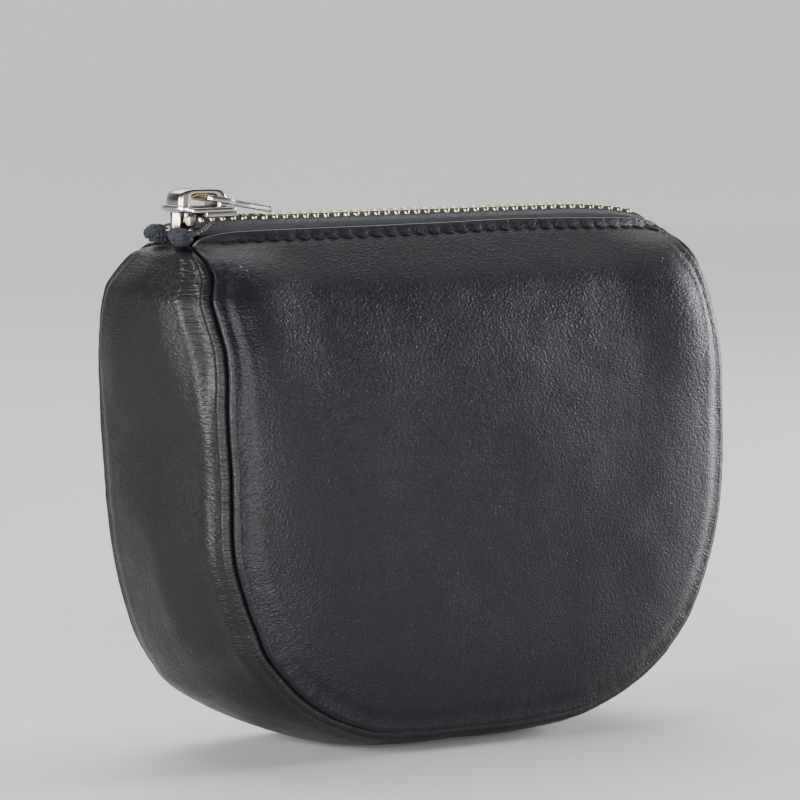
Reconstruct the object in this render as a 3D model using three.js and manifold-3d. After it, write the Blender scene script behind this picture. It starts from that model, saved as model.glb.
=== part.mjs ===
// Zipped leather coin purse: two rounded panels joined by a gusset that runs round the sides and the base,
// with turned seams, a fabric lining and a metal zip across the top. Millimetres, +Z up, front towards -Y,
// origin on the floor under the middle of the purse. The upper middle of each panel is a lip that leans
// outwards when the zip is run open.
import * as THREE from "three";
import { mergeVertices } from "three/addons/utils/BufferGeometryUtils.js";
import Module from "manifold-3d";

const wasm = await Module();
wasm.setup();

// ---- driving dimensions -------------------------------------------------------------------------
const LEATHER = 1.2; // thickness of the leather
const LINING = 0.6; // thickness of the lining
const TAPE = 0.6; // thickness of the zip tape
const SEAM_DEPTH = 20.5; // half the distance between the two seams
const LOBE = 1.6; // how far the leather rolls out beside a seam
const BULGE = 3.0; // how far the middle of a panel stands out past its seam
const GUSSET_CROWN = 2.35; // how far the middle of the gusset stands out past its seams
const TOP_EDGE_Z = 101.4; // cut edge of a panel along the zip
const CHAIN_Z = 103.9; // middle of the zip chain
const PITCH = 2.45; // spacing of the teeth on one side
const LIP_HALF_W = 49; // half the width of the part of a panel that leans out
const LIP_Z = 50; // where that part starts
const LIP_GAP = 0.8;
const SLIDER_X = -60.6; // front end of the slider when the zip is closed
const SLIDER_L = 13.4;
const PULL_L = 13.8; // from the pull's pivot to its tip
const TEETH_FROM = -54.2;
const LIP_TEETH_TO = 45.4;
const TAIL_TO = 56.5;

// Half of the seam line, from the middle of the base up to the end of the zip: x, z.
const SEAM_HALF = [
  [0, 2.1], [14, 2.2], [28.5, 3.7], [38.4, 7.3], [47.2, 13.6], [54.2, 23.2], [57.2, 30], [59.3, 38.1],
  [60.7, 50], [61.4, 64], [61.4, 78], [61.1, 87], [60.6, 92.6], [59.6, 96.6], [58.0, 99.2],
];
// Half the distance between the seams, by height: at the sides and at the middle of a panel.
const DEPTH_SIDE = [
  [0, 20.5], [66, 20.5], [72, 20.4], [79, 19.4], [84, 17.8], [88.8, 16.2], [93.7, 14.2], [96.2, 12.2],
  [98.2, 9.3], [99.6, 7.2], [104, 6.6],
];
const DEPTH_MID = [
  [0, 20.5], [50, 20.5], [64, 20.0], [74, 18.8], [83, 16.6], [90, 13.9], [96, 10.9], [99.5, 8.7], [101.4, 7.4], [104, 6.2],
];

// ---- helpers ------------------------------------------------------------------------------------
const clamp = (v, a, b) => Math.min(b, Math.max(a, v));
const smooth = (a, b, v) => {
  const t = clamp((v - a) / (b - a), 0, 1);
  return t * t * (3 - 2 * t);
};
const mix = (a, b, t) => a + (b - a) * t;
const table = (rows, z) => {
  if (z <= rows[0][0]) return rows[0][1];
  for (let i = 1; i < rows.length; i++)
    if (z <= rows[i][0])
      return mix(rows[i - 1][1], rows[i][1], (z - rows[i - 1][0]) / (rows[i][0] - rows[i - 1][0]));
  return rows[rows.length - 1][1];
};
const depthAt = (x, z) => mix(table(DEPTH_MID, z), table(DEPTH_SIDE, z), smooth(36, 57, Math.abs(x)));

// A closed solid from a list of vertices and triangles, turned the right way out.
function solid(points, tris) {
  const geometry = new THREE.BufferGeometry();
  geometry.setAttribute("position", new THREE.Float32BufferAttribute(points.flat(), 3));
  geometry.setIndex(tris.flat());
  return toManifold(geometry);
}
function toManifold(geometry) {
  const g = geometry.clone();
  for (const name of Object.keys(g.attributes)) if (name !== "position") g.deleteAttribute(name);
  const merged = mergeVertices(g, 1e-4);
  const triVerts = new Uint32Array(merged.index.array);
  const make = () =>
    new wasm.Manifold(new wasm.Mesh({ numProp: 3, vertProperties: new Float32Array(merged.attributes.position.array), triVerts }));
  let made = make();
  if (made.volume() < 0) {
    for (let i = 0; i < triVerts.length; i += 3) [triVerts[i + 1], triVerts[i + 2]] = [triVerts[i + 2], triVerts[i + 1]];
    made = make();
  }
  return made;
}
function toGeometry(made) {
  const mesh = made.getMesh();
  const points = new Float32Array(mesh.numVert * 3);
  for (let i = 0; i < mesh.numVert; i++)
    points.set(mesh.vertProperties.subarray(i * mesh.numProp, i * mesh.numProp + 3), i * 3);
  const geometry = new THREE.BufferGeometry();
  geometry.setAttribute("position", new THREE.BufferAttribute(points, 3));
  geometry.setIndex(new THREE.BufferAttribute(new Uint32Array(mesh.triVerts), 1));
  geometry.computeVertexNormals();
  return geometry;
}
const box = (x0, x1, y0, y1, z0, z1) => {
  const g = new THREE.BoxGeometry(x1 - x0, y1 - y0, z1 - z0);
  g.translate((x0 + x1) / 2, (y0 + y1) / 2, (z0 + z1) / 2);
  return toManifold(g);
};
// A prism over an outline in x, y, from z0 to z1.
const plate = (outline, z0, z1) => {
  const g = new THREE.ExtrudeGeometry(new THREE.Shape(outline.map(([x, y]) => new THREE.Vector2(x, y))), {
    depth: z1 - z0,
    bevelEnabled: false,
  });
  g.translate(0, 0, z0);
  return toManifold(g);
};
// A prism over an outline in x, z, from y0 to y1.
const wall = (outline, y0, y1) => {
  const g = new THREE.ExtrudeGeometry(new THREE.Shape(outline.map(([x, z]) => new THREE.Vector2(x, z))), {
    depth: y1 - y0,
    bevelEnabled: false,
  });
  g.rotateX(Math.PI / 2);
  g.translate(0, y1, 0);
  return toManifold(g);
};
// A prism over an outline in y, z, from x0 to x1.
const rail = (outline, x0, x1) => {
  const points = [];
  for (const x of [x0, x1]) for (const [y, z] of outline) points.push([x, y, z]);
  const n = outline.length;
  const tris = [];
  const cap = THREE.ShapeUtils.triangulateShape(outline.map(([y, z]) => new THREE.Vector2(y, z)), []);
  for (const [a, b, c] of cap) tris.push([a, b, c], [a + n, c + n, b + n]);
  const ccw = THREE.ShapeUtils.area(outline.map(([y, z]) => new THREE.Vector2(y, z))) > 0;
  for (let i = 0; i < n; i++) {
    const j = (i + 1) % n;
    if (ccw) tris.push([i, i + n, j], [j, i + n, j + n]);
    else tris.push([i, j, i + n], [j, j + n, i + n]);
  }
  return solid(points, tris);
};
// A closed skin between two grids of the same size: rows run along, columns across. Rows may close on themselves.
function sheet(outer, inner, closed) {
  const n = outer.length, m = outer[0].length;
  const points = [...outer.flat(), ...inner.flat()];
  const o = (i, j) => (i % n) * m + j;
  const k = (i, j) => n * m + (i % n) * m + j;
  const tris = [];
  const last = closed ? n : n - 1;
  for (let i = 0; i < last; i++)
    for (let j = 0; j < m - 1; j++) {
      tris.push([o(i, j), o(i + 1, j), o(i + 1, j + 1)], [o(i, j), o(i + 1, j + 1), o(i, j + 1)]);
      tris.push([k(i, j), k(i + 1, j + 1), k(i + 1, j)], [k(i, j), k(i, j + 1), k(i + 1, j + 1)]);
    }
  for (let i = 0; i < last; i++) {
    tris.push([o(i, 0), k(i, 0), k(i + 1, 0)], [o(i, 0), k(i + 1, 0), o(i + 1, 0)]);
    tris.push([o(i, m - 1), k(i + 1, m - 1), k(i, m - 1)], [o(i, m - 1), o(i + 1, m - 1), k(i + 1, m - 1)]);
  }
  if (!closed)
    for (let j = 0; j < m - 1; j++) {
      tris.push([o(0, j), o(0, j + 1), k(0, j + 1)], [o(0, j), k(0, j + 1), k(0, j)]);
      tris.push([o(n - 1, j), k(n - 1, j + 1), o(n - 1, j + 1)], [o(n - 1, j), k(n - 1, j), k(n - 1, j + 1)]);
    }
  return solid(points, tris);
}
// A disc-like skin: rings from the rim inwards, closed on themselves, with one point in the middle of each face.
function disc(outer, inner, outerMiddle, innerMiddle) {
  const n = outer[0].length, m = outer.length;
  const points = [...outer.flat(), ...inner.flat(), outerMiddle, innerMiddle];
  const o = (j, i) => j * n + (i % n);
  const k = (j, i) => m * n + j * n + (i % n);
  const tris = [];
  for (let i = 0; i < n; i++) {
    for (let j = 0; j < m - 1; j++) {
      tris.push([o(j, i), o(j, i + 1), o(j + 1, i + 1)], [o(j, i), o(j + 1, i + 1), o(j + 1, i)]);
      tris.push([k(j, i), k(j + 1, i + 1), k(j, i + 1)], [k(j, i), k(j + 1, i), k(j + 1, i + 1)]);
    }
    tris.push([o(m - 1, i), o(m - 1, i + 1), 2 * m * n]);
    tris.push([k(m - 1, i + 1), k(m - 1, i), 2 * m * n + 1]);
    tris.push([o(0, i + 1), o(0, i), k(0, i)], [o(0, i + 1), k(0, i), k(0, i + 1)]);
  }
  return solid(points, tris);
}

// ---- the seam line ------------------------------------------------------------------------------
const full = [...SEAM_HALF.slice(1).reverse().map(([x, z]) => [-x, z]), ...SEAM_HALF];
const curve = new THREE.CatmullRomCurve3(full.map(([x, z]) => new THREE.Vector3(x, 0, z)), false, "centripetal");
const seam = []; // {x, z, nx, nz, d, end}: points from the left end of the zip down and round to the right end
{
  const steps = 38;
  const total = curve.getLength();
  for (let i = 0; i <= steps; i++) {
    const u = i / steps;
    const t = 0.5 - 0.5 * Math.cos(Math.PI * u) * (1 - 0.0) ;
    const s = mix(u, t, 0.45); // closer together near the two ends
    const p = curve.getPointAt(s);
    const q = curve.getTangentAt(s);
    seam.push({ x: p.x, z: p.z, nx: q.z, nz: -q.x, d: table(DEPTH_SIDE, p.z), end: Math.min(s, 1 - s) * total });
  }
}
for (const p of seam) {
  // the outward side, away from the middle of the panel
  if (p.x * p.nx + (p.z - 50) * p.nz < 0) {
    p.nx = -p.nx;
    p.nz = -p.nz;
  }
}
const turnIn = (p) => mix(0.3, 1, smooth(0, 14, p.end)); // the seam allowance shortens towards the zip

// ---- leather panels -----------------------------------------------------------------------------
// The rim of a panel: the seam, then the cut edge along the zip. cut is 0 on the seam and 1 on the cut edge.
const rim = seam.map((p) => ({ ...p, cut: 0 }));
{
  const last = seam[seam.length - 1];
  const edge = [[56.2, 100.3], [53, 101.0], [48, 101.3], [36, TOP_EDGE_Z], [18, TOP_EDGE_Z], [0, TOP_EDGE_Z]];
  const both = [...edge, ...edge.slice(0, -1).reverse().map(([x, z]) => [-x, z])];
  both.forEach(([x, z]) => {
    const side = Math.sign(x);
    const corner = Math.abs(x) > 50 ? (Math.abs(x) > 55 ? 0.75 : 0.3) : 0;
    const nx = side * corner, nz = Math.sqrt(1 - corner * corner);
    rim.push({ x, z, nx, nz, d: depthAt(x, z), end: 0, cut: 1 });
  });
  void last;
}
// Distance in from the rim and height out of the seam's corner, for the turned seam and for the cut edge.
const SEAM_OUT = [[4.24, -4.0], [0.97, -0.72], [0.5, 0.25], [1.6, 1.2], [5, LOBE]];
const SEAM_IN = [[5.05, -3.1], [2.3, -0.3], [2.5, -0.1], [3.0, 0.05], [5.4, LOBE - LEATHER]];
const EDGE_OUT = [[0, 0], [0.6, 0], [1.3, 0], [2.6, 0.1], [5, 0.4]];
const EDGE_IN = EDGE_OUT.map(([a, h]) => [a, h - LEATHER]);
const MIDDLE = [0, 48];
const RINGS = [0.78, 0.52, 0.26];
function panel(side) {
  const place = (p, [a, h], scale) => {
    const x = p.x - p.nx * a, z = p.z - p.nz * a;
    const share = mix(clamp(a / 5, 0, 1), 1, p.cut);
    const d = mix(p.d, depthAt(x, z), h < -1.3 * scale ? 0 : share);
    return [x, side * (d + h), z];
  };
  const row = (seamRow, edgeRow) =>
    rim.map((p) => {
      const k = p.cut ? 1 : turnIn(p);
      const r = p.cut ? edgeRow : seamRow[1] < -2 ? [mix(0.97, seamRow[0], k), mix(-0.72, seamRow[1], k)] : seamRow;
      return place(p, r, 1);
    });
  const inward = (r, drop) =>
    rim.map((p) => {
      const x5 = p.x - p.nx * 5, z5 = p.z - p.nz * 5;
      const x = mix(MIDDLE[0], x5, r), z = mix(MIDDLE[1], z5, r);
      const lobe = mix(LOBE, p.cut ? 0.4 : LOBE, r);
      return [x, side * (depthAt(x, z) + lobe + BULGE * (1 - r * r) - drop), z];
    });
  const seamIn = (r) => (r[1] < -2 ? r : r);
  const outer = [...SEAM_OUT.map((r, i) => row(r, EDGE_OUT[i])), ...RINGS.map((r) => inward(r, 0))];
  const inner = [
    ...SEAM_IN.map((r, i) =>
      rim.map((p) => {
        const k = p.cut ? 1 : turnIn(p);
        let q = p.cut ? EDGE_IN[i] : seamIn(r);
        if (!p.cut && i === 0) q = [mix(2.2, r[0], k), mix(-0.55, r[1], k)];
        return place(p, q, 1);
      }),
    ),
    ...RINGS.map((r) => inward(r, LEATHER)),
  ];
  const top = depthAt(...MIDDLE) + LOBE + BULGE;
  return disc(outer, inner, [MIDDLE[0], side * top, MIDDLE[1]], [MIDDLE[0], side * (top - LEATHER), MIDDLE[1]]);
}

// ---- gusset -------------------------------------------------------------------------------------
function gusset() {
  const OUT = [[-4.0, -4.24], [-0.72, -0.97], [0.25, -0.5], [1.2, -1.6], [LOBE, -5]];
  const IN = [[-3.1, -5.05], [-0.3, -2.3], [-0.1, -2.5], [0.05, -3.0], [LOBE - LEATHER, -5.4]];
  const outer = [], inner = [];
  for (const p of seam) {
    const k = turnIn(p);
    const tight = Math.min(1, p.d / 9.5);
    const at = (n, y) => {
      const z = p.z + p.nz * n;
      return [p.x + p.nx * n, y, z];
    };
    const half = (rows, tip) =>
      rows.map(([n, y], i) => {
        if (i === 0) [n, y] = [mix(tip[0], n, k), mix(tip[1], y, k)];
        return [n, -(p.d + y * tight)];
      });
    const fo = half(OUT, [-0.72, -0.97]), fi = half(IN, [-0.55, -2.2]);
    const across = (rows, n0, crown) => [
      ...rows.map(([n, y]) => at(n, y)),
      at(mix(n0, crown, 0.9), -Math.abs(rows[4][1]) * 0.5),
      at(crown, 0),
      at(mix(n0, crown, 0.9), Math.abs(rows[4][1]) * 0.5),
      ...[...rows].reverse().map(([n, y]) => at(n, -y)),
    ];
    const crown = GUSSET_CROWN;
    outer.push(across(fo, LOBE, crown).map(([x, y, z]) => [x, y, Math.max(z, 0)]));
    inner.push(across(fi, LOBE - LEATHER, crown - LEATHER).map(([x, y, z]) => [x, y, Math.max(z, LEATHER - 0.1)]));
  }
  return sheet(outer, inner, false);
}

// ---- cutting a panel into its fixed part and its lip ----------------------------------------------
const lipCutter = (side, grow) => {
  const w = LIP_HALF_W + grow, z0 = LIP_Z - (grow ? LIP_GAP : 0), r = 12;
  const outline = [[-w, 112], [-w, z0 + r], [-w + r * 0.3, z0 + r * 0.3], [-w + r, z0], [w - r, z0], [w - r * 0.3, z0 + r * 0.3], [w, z0 + r], [w, 112]];
  return wall(outline, side < 0 ? -40 : 2, side < 0 ? -2 : 40);
};
const frontWhole = panel(-1), backWhole = panel(1);
const frontLip = frontWhole.intersect(lipCutter(-1, 0)), frontFixed = frontWhole.subtract(lipCutter(-1, 0.4));
const backLip = backWhole.intersect(lipCutter(1, 0)), backFixed = backWhole.subtract(lipCutter(1, 0.4));

// ---- lining -------------------------------------------------------------------------------------
// Two fabric faces and a strip, inside the leather and clear of the seam allowances.
function liningFace(side) {
  const drop = LEATHER + 0.45;
  const edge = rim.map((p) => {
    const a = p.cut ? 3.2 : 7.2;
    return { x: p.x - p.nx * a, z: p.z - p.nz * a, cut: p.cut };
  });
  const ring = (r, extra) =>
    edge.map((p) => {
      const x = mix(MIDDLE[0], p.x, r), z = mix(MIDDLE[1], p.z, r);
      const lobe = mix(LOBE, p.cut ? 0.4 : LOBE - 0.25, r);
      return [x, side * (depthAt(x, z) + lobe + BULGE * (1 - r * r) * 0.9 - drop - 0.3 * r - 0.75 * smooth(76, 92, z) - extra), z];
    });
  const rings = [1, 0.9, 0.7, 0.42];
  const top = depthAt(...MIDDLE) + LOBE + BULGE * 0.9 - drop;
  return disc(
    rings.map((r) => ring(r, 0)),
    rings.map((r) => ring(r, LINING)),
    [MIDDLE[0], side * top, MIDDLE[1]],
    [MIDDLE[0], side * (top - LINING), MIDDLE[1]],
  );
}
function liningStrip() {
  const outer = [], inner = [];
  for (const p of seam.filter((q) => q.end > 10)) {
    const half = p.d - 6.4;
    if (half < 2) continue;
    const at = (n, y) => [p.x + p.nx * n, y, p.z + p.nz * n];
    const ys = [-half, -half * 0.5, 0, half * 0.5, half];
    outer.push(ys.map((y, i) => at(i === 2 ? -0.6 : -1.0, y)));
    inner.push(ys.map((y, i) => at((i === 2 ? -0.6 : -1.0) - LINING, y)));
  }
  return sheet(outer, inner, false);
}
const liningFront = liningFace(-1), liningBack = liningFace(1);
const liningFrontLip = liningFront.intersect(lipCutter(-1, 0)), liningFrontFixed = liningFront.subtract(lipCutter(-1, 0.4));
const liningBackLip = liningBack.intersect(lipCutter(1, 0)), liningBackFixed = liningBack.subtract(lipCutter(1, 0.4));

// ---- zip tape -----------------------------------------------------------------------------------
// Section of one tape, from the bead beside the teeth out and down behind the leather: distance from the middle, height.
const TAPE_TOP = [[3.25, CHAIN_Z + 0.3], [5.0, CHAIN_Z + 0.3], [5.65, CHAIN_Z - 0.9], [5.7, CHAIN_Z - 3.2]];
const TAPE_LOW = [[5.1, CHAIN_Z - 3.2], [5.05, CHAIN_Z - 1.2], [4.75, CHAIN_Z - 0.3], [3.25, CHAIN_Z - 0.3]];
const tapeSection = (side) => [...TAPE_TOP, ...TAPE_LOW].map(([y, z]) => [side * y, z]);
const tape = (side, x0, x1) => rail(tapeSection(side), x0, x1);
// The far end turns down inside the gusset; the near end runs level through the slider and stops behind it.
function tapeEnd(side, x0, dir) {
  const stations = dir < 0
    ? [[x0, 0], [-53, 0], [-56.6, 0]]
    : [[x0, 0], [54.7, 0], [56.0, -0.9], [56.8, -2.6], [57.0, -5.0]];
  const reach = (y, drop) => (drop < -0.5 ? Math.min(y, drop < -2 ? 4.6 : 5.1) : Math.min(y, 5.45));
  const outer = stations.map(([x, drop]) => TAPE_TOP.map(([y, z]) => [x, side * reach(y, drop), z + drop]));
  const low = [...TAPE_LOW].reverse();
  const inner = stations.map(([x, drop], i) => low.map(([y, z]) => [x - (drop < -0.5 ? dir * 0.6 : 0), side * (y > 4.9 ? reach(9, drop) - 0.45 : Math.min(y, reach(9, drop) - 0.5)), z + drop + (i > 1 ? 0.2 : 0)]));
  return sheet(outer, inner, false);
}

// ---- zip teeth ----------------------------------------------------------------------------------
// A row of teeth clenched on the bead cord of its tape. Each tooth reaches past the middle, between two of the other row.
function teeth(side, from, to, shift, x0, x1) {
  const cord = box(x0, x1, Math.min(side * 2.0, side * 2.9), Math.max(side * 2.0, side * 2.9), CHAIN_Z - 0.55, CHAIN_Z + 0.55);
  const parts = [cord];
  for (let x = from + shift; x + 0.6 <= to; x += PITCH) {
    const outline = [[x - 0.6, side * 2.75], [x - 0.6, side * 1.1], [x - 0.44, side * 0.6], [x - 0.44, side * -0.7], [x + 0.44, side * -0.7], [x + 0.44, side * 0.6], [x + 0.6, side * 1.1], [x + 0.6, side * 2.75]];
    parts.push(plate(side < 0 ? outline : [...outline].reverse(), CHAIN_Z - 1.1, CHAIN_Z + 1.1));
  }
  return parts.reduce((a, b) => a.add(b));
}
const stopClip = (x0, x1, y0, y1) => box(x0, x1, Math.min(y0, y1), Math.max(y0, y1), CHAIN_Z - 1.05, CHAIN_Z + 1.05);

// ---- slider -------------------------------------------------------------------------------------
const SX = SLIDER_X;
const plan = (w) => {
  const half = [[0, 0.45 * w], [0.7, 0.8 * w], [2.4, w], [6.2, 0.97 * w], [10, 0.88 * w], [SLIDER_L, 0.84 * w]];
  return [...half.map(([x, y]) => [SX + x, -y]), ...[...half].reverse().map(([x, y]) => [SX + x, y])];
};
function sliderBody() {
  const T0 = CHAIN_Z + 1.45, B1 = CHAIN_Z - 1.45;
  let s = plate(plan(4.9), T0, T0 + 1.1).add(plate(plan(4.7), B1 - 1.0, B1));
  // the wedge that parts the rows
  s = s.add(plate([[SX + 0.5, -0.5], [SX + 1.6, -1.25], [SX + 3.2, -0.9], [SX + 4.6, 0], [SX + 3.2, 0.9], [SX + 1.6, 1.25], [SX + 0.5, 0.5]], B1 - 0.2, T0 + 0.2));
  for (const side of [-1, 1]) {
    const flange = [[SX + 5.6, 3.4], [SX + SLIDER_L - 0.05, 3.3], [SX + SLIDER_L - 0.05, 4.1], [SX + 9.8, 4.3], [SX + 5.6, 4.75]].map(([x, y]) => [x, side * y]);
    const turned = side > 0 ? flange : [...flange].reverse();
    s = s.add(plate(turned, CHAIN_Z + 0.62, T0 + 0.2)).add(plate(turned, B1 - 0.2, CHAIN_Z - 0.62));
  }
  // seats that the cap clips over
  s = s.add(box(SX + 1.6, SX + 2.6, -1.2, 1.2, T0 + 0.6, T0 + 1.9)).add(box(SX + 10.2, SX + 11.2, -1.2, 1.2, T0 + 0.6, T0 + 1.9));
  return s;
}
function sliderCap() {
  const base = CHAIN_Z + 1.45 + 1.1 + 0.3;
  const top = base + 4.1;
  const outer = [[SX + 0.7, base], [SX + 0.75, base + 1.8], [SX + 1.2, base + 3.2], [SX + 2.4, top - 0.15], [SX + 4.2, top], [SX + 8.9, top], [SX + 10.8, top - 0.3], [SX + 11.9, base + 3.0], [SX + 12.2, base + 1.7], [SX + 12.2, base]];
  const hole = [[SX + 3.0, base - 0.5], [SX + 3.05, base + 1.8], [SX + 3.7, top - 1.15], [SX + 9.4, top - 1.15], [SX + 9.85, base + 1.7], [SX + 9.85, base - 0.5]];
  const pocket = [box(SX + 1.3, SX + 2.9, -1.5, 1.5, base - 1, base + 1.2), box(SX + 9.9, SX + 11.5, -1.5, 1.5, base - 1, base + 1.2)];
  let c = wall([...outer].reverse(), -2.5, 2.5).subtract(wall([...hole].reverse(), -4, 4));
  for (const p of pocket) c = c.subtract(p);
  return c;
}
function lockSpring() {
  const top = CHAIN_Z + 1.45 + 1.1 + 0.3 + 4.1 - 1.15;
  // a brass leaf under the roof of the cap, with a pin that reaches towards the chain
  return box(SX + 4.3, SX + 8.9, -1.1, 1.1, top - 1.0, top - 0.75).add(box(SX + 4.3, SX + 4.75, -0.5, 0.5, top - 2.5, top - 0.8));
}
const PULL_X = SX + 8.75, PULL_Z = CHAIN_Z + 1.45 + 1.1 + 0.3 + 0.95;
const PULL_TILT = 4.5; // degrees below level at rest
function pullTab() {
  // modelled lying along +X from its cross bar at the origin, then tilted and put in place
  const t = 0.6;
  const outer = [[-0.75, -3.4], [-0.1, -4.0], [4.0, -3.7], [6.2, -2.7], [PULL_L - 0.4, -3.7], [PULL_L, -3.2], [PULL_L, 3.2], [PULL_L - 0.4, 3.7], [6.2, 2.7], [4.0, 3.7], [-0.1, 4.0], [-0.75, 3.4]];
  const hole = [[0.65, -2.85], [4.0, -2.85], [4.7, -1.9], [4.7, 1.9], [4.0, 2.85], [0.65, 2.85]];
  const g = plate(outer, -t, t).subtract(plate(hole, -2, 2));
  const geometry = toGeometry(g);
  geometry.rotateY(THREE.MathUtils.degToRad(PULL_TILT));
  geometry.translate(PULL_X, 0, PULL_Z);
  return toManifold(geometry);
}

// ---- threads ------------------------------------------------------------------------------------
// A thin strip of thread along a list of points, with a square section.
function thread(points, r) {
  const rows = points.map(([x, y, z]) => [[x, y - r, z - r], [x, y + r, z - r], [x, y + r, z + r], [x, y - r, z + r]]);
  const n = rows.length;
  const tris = [];
  for (let i = 0; i < n - 1; i++)
    for (let j = 0; j < 4; j++) {
      const a = i * 4 + j, b = i * 4 + ((j + 1) % 4), c = a + 4, d = b + 4;
      tris.push([a, b, d], [a, d, c]);
    }
  const e = (n - 1) * 4;
  tris.push([0, 2, 1], [0, 3, 2], [e, e + 1, e + 2], [e, e + 2, e + 3]);
  return solid(rows.flat(), tris);
}
const topstitch = (side) => {
  const points = [];
  for (let x = -48.4; x <= 48.5; x += 8.8 / 2) {
    const z = TOP_EDGE_Z - 2.6;
    points.push([x, side * (depthAt(x, z) + 0.1 + 0.3 + 0.75), z + 0.1]);
  }
  return thread(points, 0.25);
};
// The thread that holds a seam runs along the inner face of the panel's seam allowance.
const seamThread = (side) => {
  const points = seam
    .filter((p) => p.end > 15)
    .map((p) => {
      const n = -5.15, y = -2.35;
      return [p.x + p.nx * n, side * (p.d + y), p.z + p.nz * n];
    });
  const r = 0.2;
  const rows = points.map(([x, y, z]) => {
    const l = Math.hypot(x, z - 48) || 1, ux = x / l, uz = (z - 48) / l;
    return [[-r, -r], [r, -r], [r, r], [-r, r]].map(([a, b]) => [x + ux * a, y + b, z + uz * a]);
  });
  const n = rows.length, tris = [];
  for (let i = 0; i < n - 1; i++)
    for (let j = 0; j < 4; j++) {
      const a = i * 4 + j, b = i * 4 + ((j + 1) % 4);
      tris.push([a, b, b + 4], [a, b + 4, a + 4]);
    }
  const e = (n - 1) * 4;
  tris.push([0, 2, 1], [0, 3, 2], [e, e + 1, e + 2], [e, e + 2, e + 3]);
  return solid(rows.flat(), tris);
};

// ---- materials ----------------------------------------------------------------------------------
const leather = () => new THREE.MeshStandardMaterial({ color: 0x25262a, roughness: 0.45, metalness: 0 });
const fabric = () => new THREE.MeshStandardMaterial({ color: 0x2b2b30, roughness: 0.9, metalness: 0 });
const weave = () => new THREE.MeshStandardMaterial({ color: 0x1d1e24, roughness: 0.85, metalness: 0 });
const yarn = () => new THREE.MeshStandardMaterial({ color: 0x17181c, roughness: 0.7, metalness: 0 });
const gunmetal = () => new THREE.MeshStandardMaterial({ color: 0x8a8780, roughness: 0.25, metalness: 1 });
const antique = () => new THREE.MeshStandardMaterial({ color: 0x8d8974, roughness: 0.35, metalness: 1 });
const brass = () => new THREE.MeshStandardMaterial({ color: 0xb08a3c, roughness: 0.35, metalness: 1 });

// ---- assembly -----------------------------------------------------------------------------------
const purse = new THREE.Group();
const bodyGroup = new THREE.Group(), frontGroup = new THREE.Group(), backGroup = new THREE.Group(), sliderGroup = new THREE.Group();
purse.add(bodyGroup, frontGroup, backGroup, sliderGroup);
const put = (group, name, made, material) => {
  const mesh = new THREE.Mesh(toGeometry(made), material);
  mesh.name = name;
  group.add(mesh);
};
put(bodyGroup, "front_panel", frontFixed, leather());
put(bodyGroup, "back_panel", backFixed, leather());
put(bodyGroup, "gusset", gusset(), leather());
put(bodyGroup, "lining_front", liningFrontFixed, fabric());
put(bodyGroup, "lining_back", liningBackFixed, fabric());
put(bodyGroup, "lining_gusset", liningStrip(), fabric());
put(bodyGroup, "seam_thread_front", seamThread(-1), yarn());
put(bodyGroup, "seam_thread_back", seamThread(1), yarn());
for (const [name, side] of [["front", -1], ["back", 1]]) {
  put(bodyGroup, "zip_tape_" + name + "_start", tapeEnd(side, -49.4, -1), weave());
  put(bodyGroup, "zip_tape_" + name + "_end", tapeEnd(side, 49.4, 1), weave());
  put(bodyGroup, "top_stop_" + name, stopClip(-56.9, -55.1, side * 1.75, side * 2.95), antique());
  const tailFrom = LIP_TEETH_TO + 0.6;
  const first = TEETH_FROM + Math.ceil((tailFrom + 0.7 - TEETH_FROM - (side > 0 ? PITCH / 2 : 0)) / PITCH) * PITCH;
  put(bodyGroup, "teeth_" + name + "_tail", teeth(side, first, TAIL_TO - 2, side > 0 ? PITCH / 2 : 0, tailFrom, TAIL_TO - 2), antique());
}
put(bodyGroup, "bottom_stop", box(TAIL_TO - 1.7, TAIL_TO + 0.6, -2.7, 2.7, CHAIN_Z - 1.2, CHAIN_Z + 1.2), antique());
for (const [name, side, group, lip, lining] of [
  ["front", -1, frontGroup, frontLip, liningFrontLip],
  ["back", 1, backGroup, backLip, liningBackLip],
]) {
  put(group, name + "_panel_lip", lip, leather());
  put(group, "lining_" + name + "_lip", lining, fabric());
  put(group, "zip_tape_" + name, tape(side, -49.0, 49.0), weave());
  put(group, "teeth_" + name, teeth(side, TEETH_FROM, LIP_TEETH_TO, side > 0 ? PITCH / 2 : 0, -54.9, LIP_TEETH_TO), antique());
  put(group, "topstitch_" + name, topstitch(side), yarn());
}
put(sliderGroup, "slider_body", sliderBody(), gunmetal());
put(sliderGroup, "slider_cap", sliderCap(), gunmetal());
put(sliderGroup, "lock_spring", lockSpring(), brass());
put(sliderGroup, "pull_tab", pullTab(), gunmetal());

export default purse;
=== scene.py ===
import bpy, bmesh, math
import numpy as np
from mathutils import Vector, Matrix, noise


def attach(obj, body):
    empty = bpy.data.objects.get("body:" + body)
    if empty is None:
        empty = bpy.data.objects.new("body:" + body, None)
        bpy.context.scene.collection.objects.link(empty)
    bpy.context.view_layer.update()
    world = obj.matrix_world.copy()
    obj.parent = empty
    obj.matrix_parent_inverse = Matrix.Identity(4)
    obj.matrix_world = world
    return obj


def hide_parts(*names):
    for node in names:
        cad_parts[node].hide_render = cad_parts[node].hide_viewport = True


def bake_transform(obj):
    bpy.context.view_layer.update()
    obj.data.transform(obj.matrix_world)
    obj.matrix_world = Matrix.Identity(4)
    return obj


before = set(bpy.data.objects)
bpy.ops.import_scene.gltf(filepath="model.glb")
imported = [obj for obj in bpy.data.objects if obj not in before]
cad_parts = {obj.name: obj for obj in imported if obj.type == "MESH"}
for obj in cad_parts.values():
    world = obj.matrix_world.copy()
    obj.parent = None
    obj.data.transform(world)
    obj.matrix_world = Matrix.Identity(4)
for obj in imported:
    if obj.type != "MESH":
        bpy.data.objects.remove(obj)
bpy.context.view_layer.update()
MM = 0.001

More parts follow.
